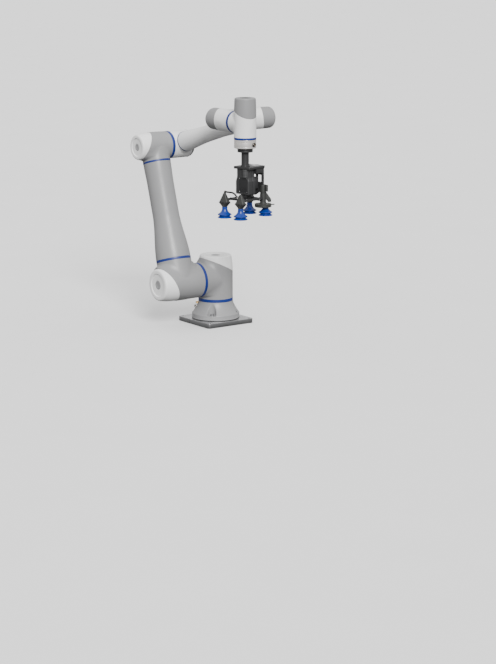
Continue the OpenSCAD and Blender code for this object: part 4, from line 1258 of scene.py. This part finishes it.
for build in (mounting_plate, base_gasket, base_housing, base_bolts, base_connectors, shoulder,
              upper_arm, forearm, wrists, tool_flange, gripper_adapter, gripper_deck, pump_body,
              pump_panel, pump_motor, gripper_frame, valve_block, cup_arms, cup_holders, suction_cups,
              vacuum_hoses):
    build()


# ---------- CAD nodes that keep their own shape ----------
def dress(node, material):
    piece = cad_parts[node]
    piece.data.materials.clear()
    piece.data.materials.append(material)


for n in JOINTS:
    dress(f"j{n}_reducer", GEAR_STEEL)
    dress(f"j{n}_motor", COPPER)
    dress(f"j{n}_rotor", ROTOR_STEEL)


# ---------- stage ----------
def floor():
    """Wide pale floor, a hair under the plate."""
    half = 60
    mesh = bpy.data.meshes.new("floor")
    corners = [(-half, -half, 0), (half, -half, 0), (half, half, 0), (-half, half, 0)]
    mesh.from_pydata(corners, [], [(0, 1, 2, 3)])
    piece = bpy.data.objects.new("floor", mesh)
    bpy.context.scene.collection.objects.link(piece)
    piece.location.z = -0.3 * MM
    material, tree, space = blank("pale_floor")
    tone = tint(tree, noise(tree, space, 3.0), (0.86, 0.86, 0.86), (0.9, 0.9, 0.9))
    mesh.materials.append(surface(material, [("Base Color", tone)], {"Roughness": 0.7}))
    piece.visible_diffuse = False
    piece.visible_glossy = False


def camera():
    """A long lens, 54.4 degrees round from the front, looking 12 degrees down."""
    data = bpy.data.cameras.new("camera")
    data.lens = 116.7
    data.clip_end = 300
    holder = bpy.data.objects.new("camera", data)
    holder.location = (7.6773, -5.3205, 1.9368)
    holder.rotation_mode = "QUATERNION"
    holder.rotation_quaternion = Vector((-0.7953, 0.5694, -0.2079)).to_track_quat("-Z", "Y")
    bpy.context.scene.collection.objects.link(holder)
    bpy.context.scene.camera = holder


def soft_sun(direction, power, spread_deg):
    light = bpy.data.lights.new("soft_sun", "SUN")
    light.energy = power
    light.angle = radians(spread_deg)
    holder = bpy.data.objects.new("soft_sun", light)
    holder.rotation_mode = "QUATERNION"
    holder.rotation_quaternion = Vector(direction).to_track_quat("-Z", "Y")
    bpy.context.scene.collection.objects.link(holder)


def studio():
    """Soft box of a room: bright overhead, calmer at eye level and dim below the floor."""
    world = bpy.data.worlds.new("studio")
    world.use_nodes = True
    tree = world.node_tree
    sky = add(tree, "ShaderNodeTexCoord").outputs["Generated"]
    height = add(tree, "ShaderNodeSeparateXYZ", [("Vector", sky)]).outputs["Z"]
    ramp = add(tree, "ShaderNodeValToRGB", [("Fac", spread(tree, height, 0, 1, -1, 1))])
    stops = ramp.color_ramp.elements
    stops[0].position, stops[0].color = 0.3, (0.12, 0.12, 0.12, 1)
    stops[1].position, stops[1].color = 1.0, (1, 1, 1, 1)
    stops.new(0.53).color = (0.5, 0.5, 0.5, 1)
    background = tree.nodes["Background"]
    tree.links.new(ramp.outputs["Color"], background.inputs["Color"])
    background.inputs["Strength"].default_value = 1.4
    bpy.context.scene.world = world


floor()
studio()
soft_sun((-0.80, 0.34, -0.50), 4.6, 22)
camera()
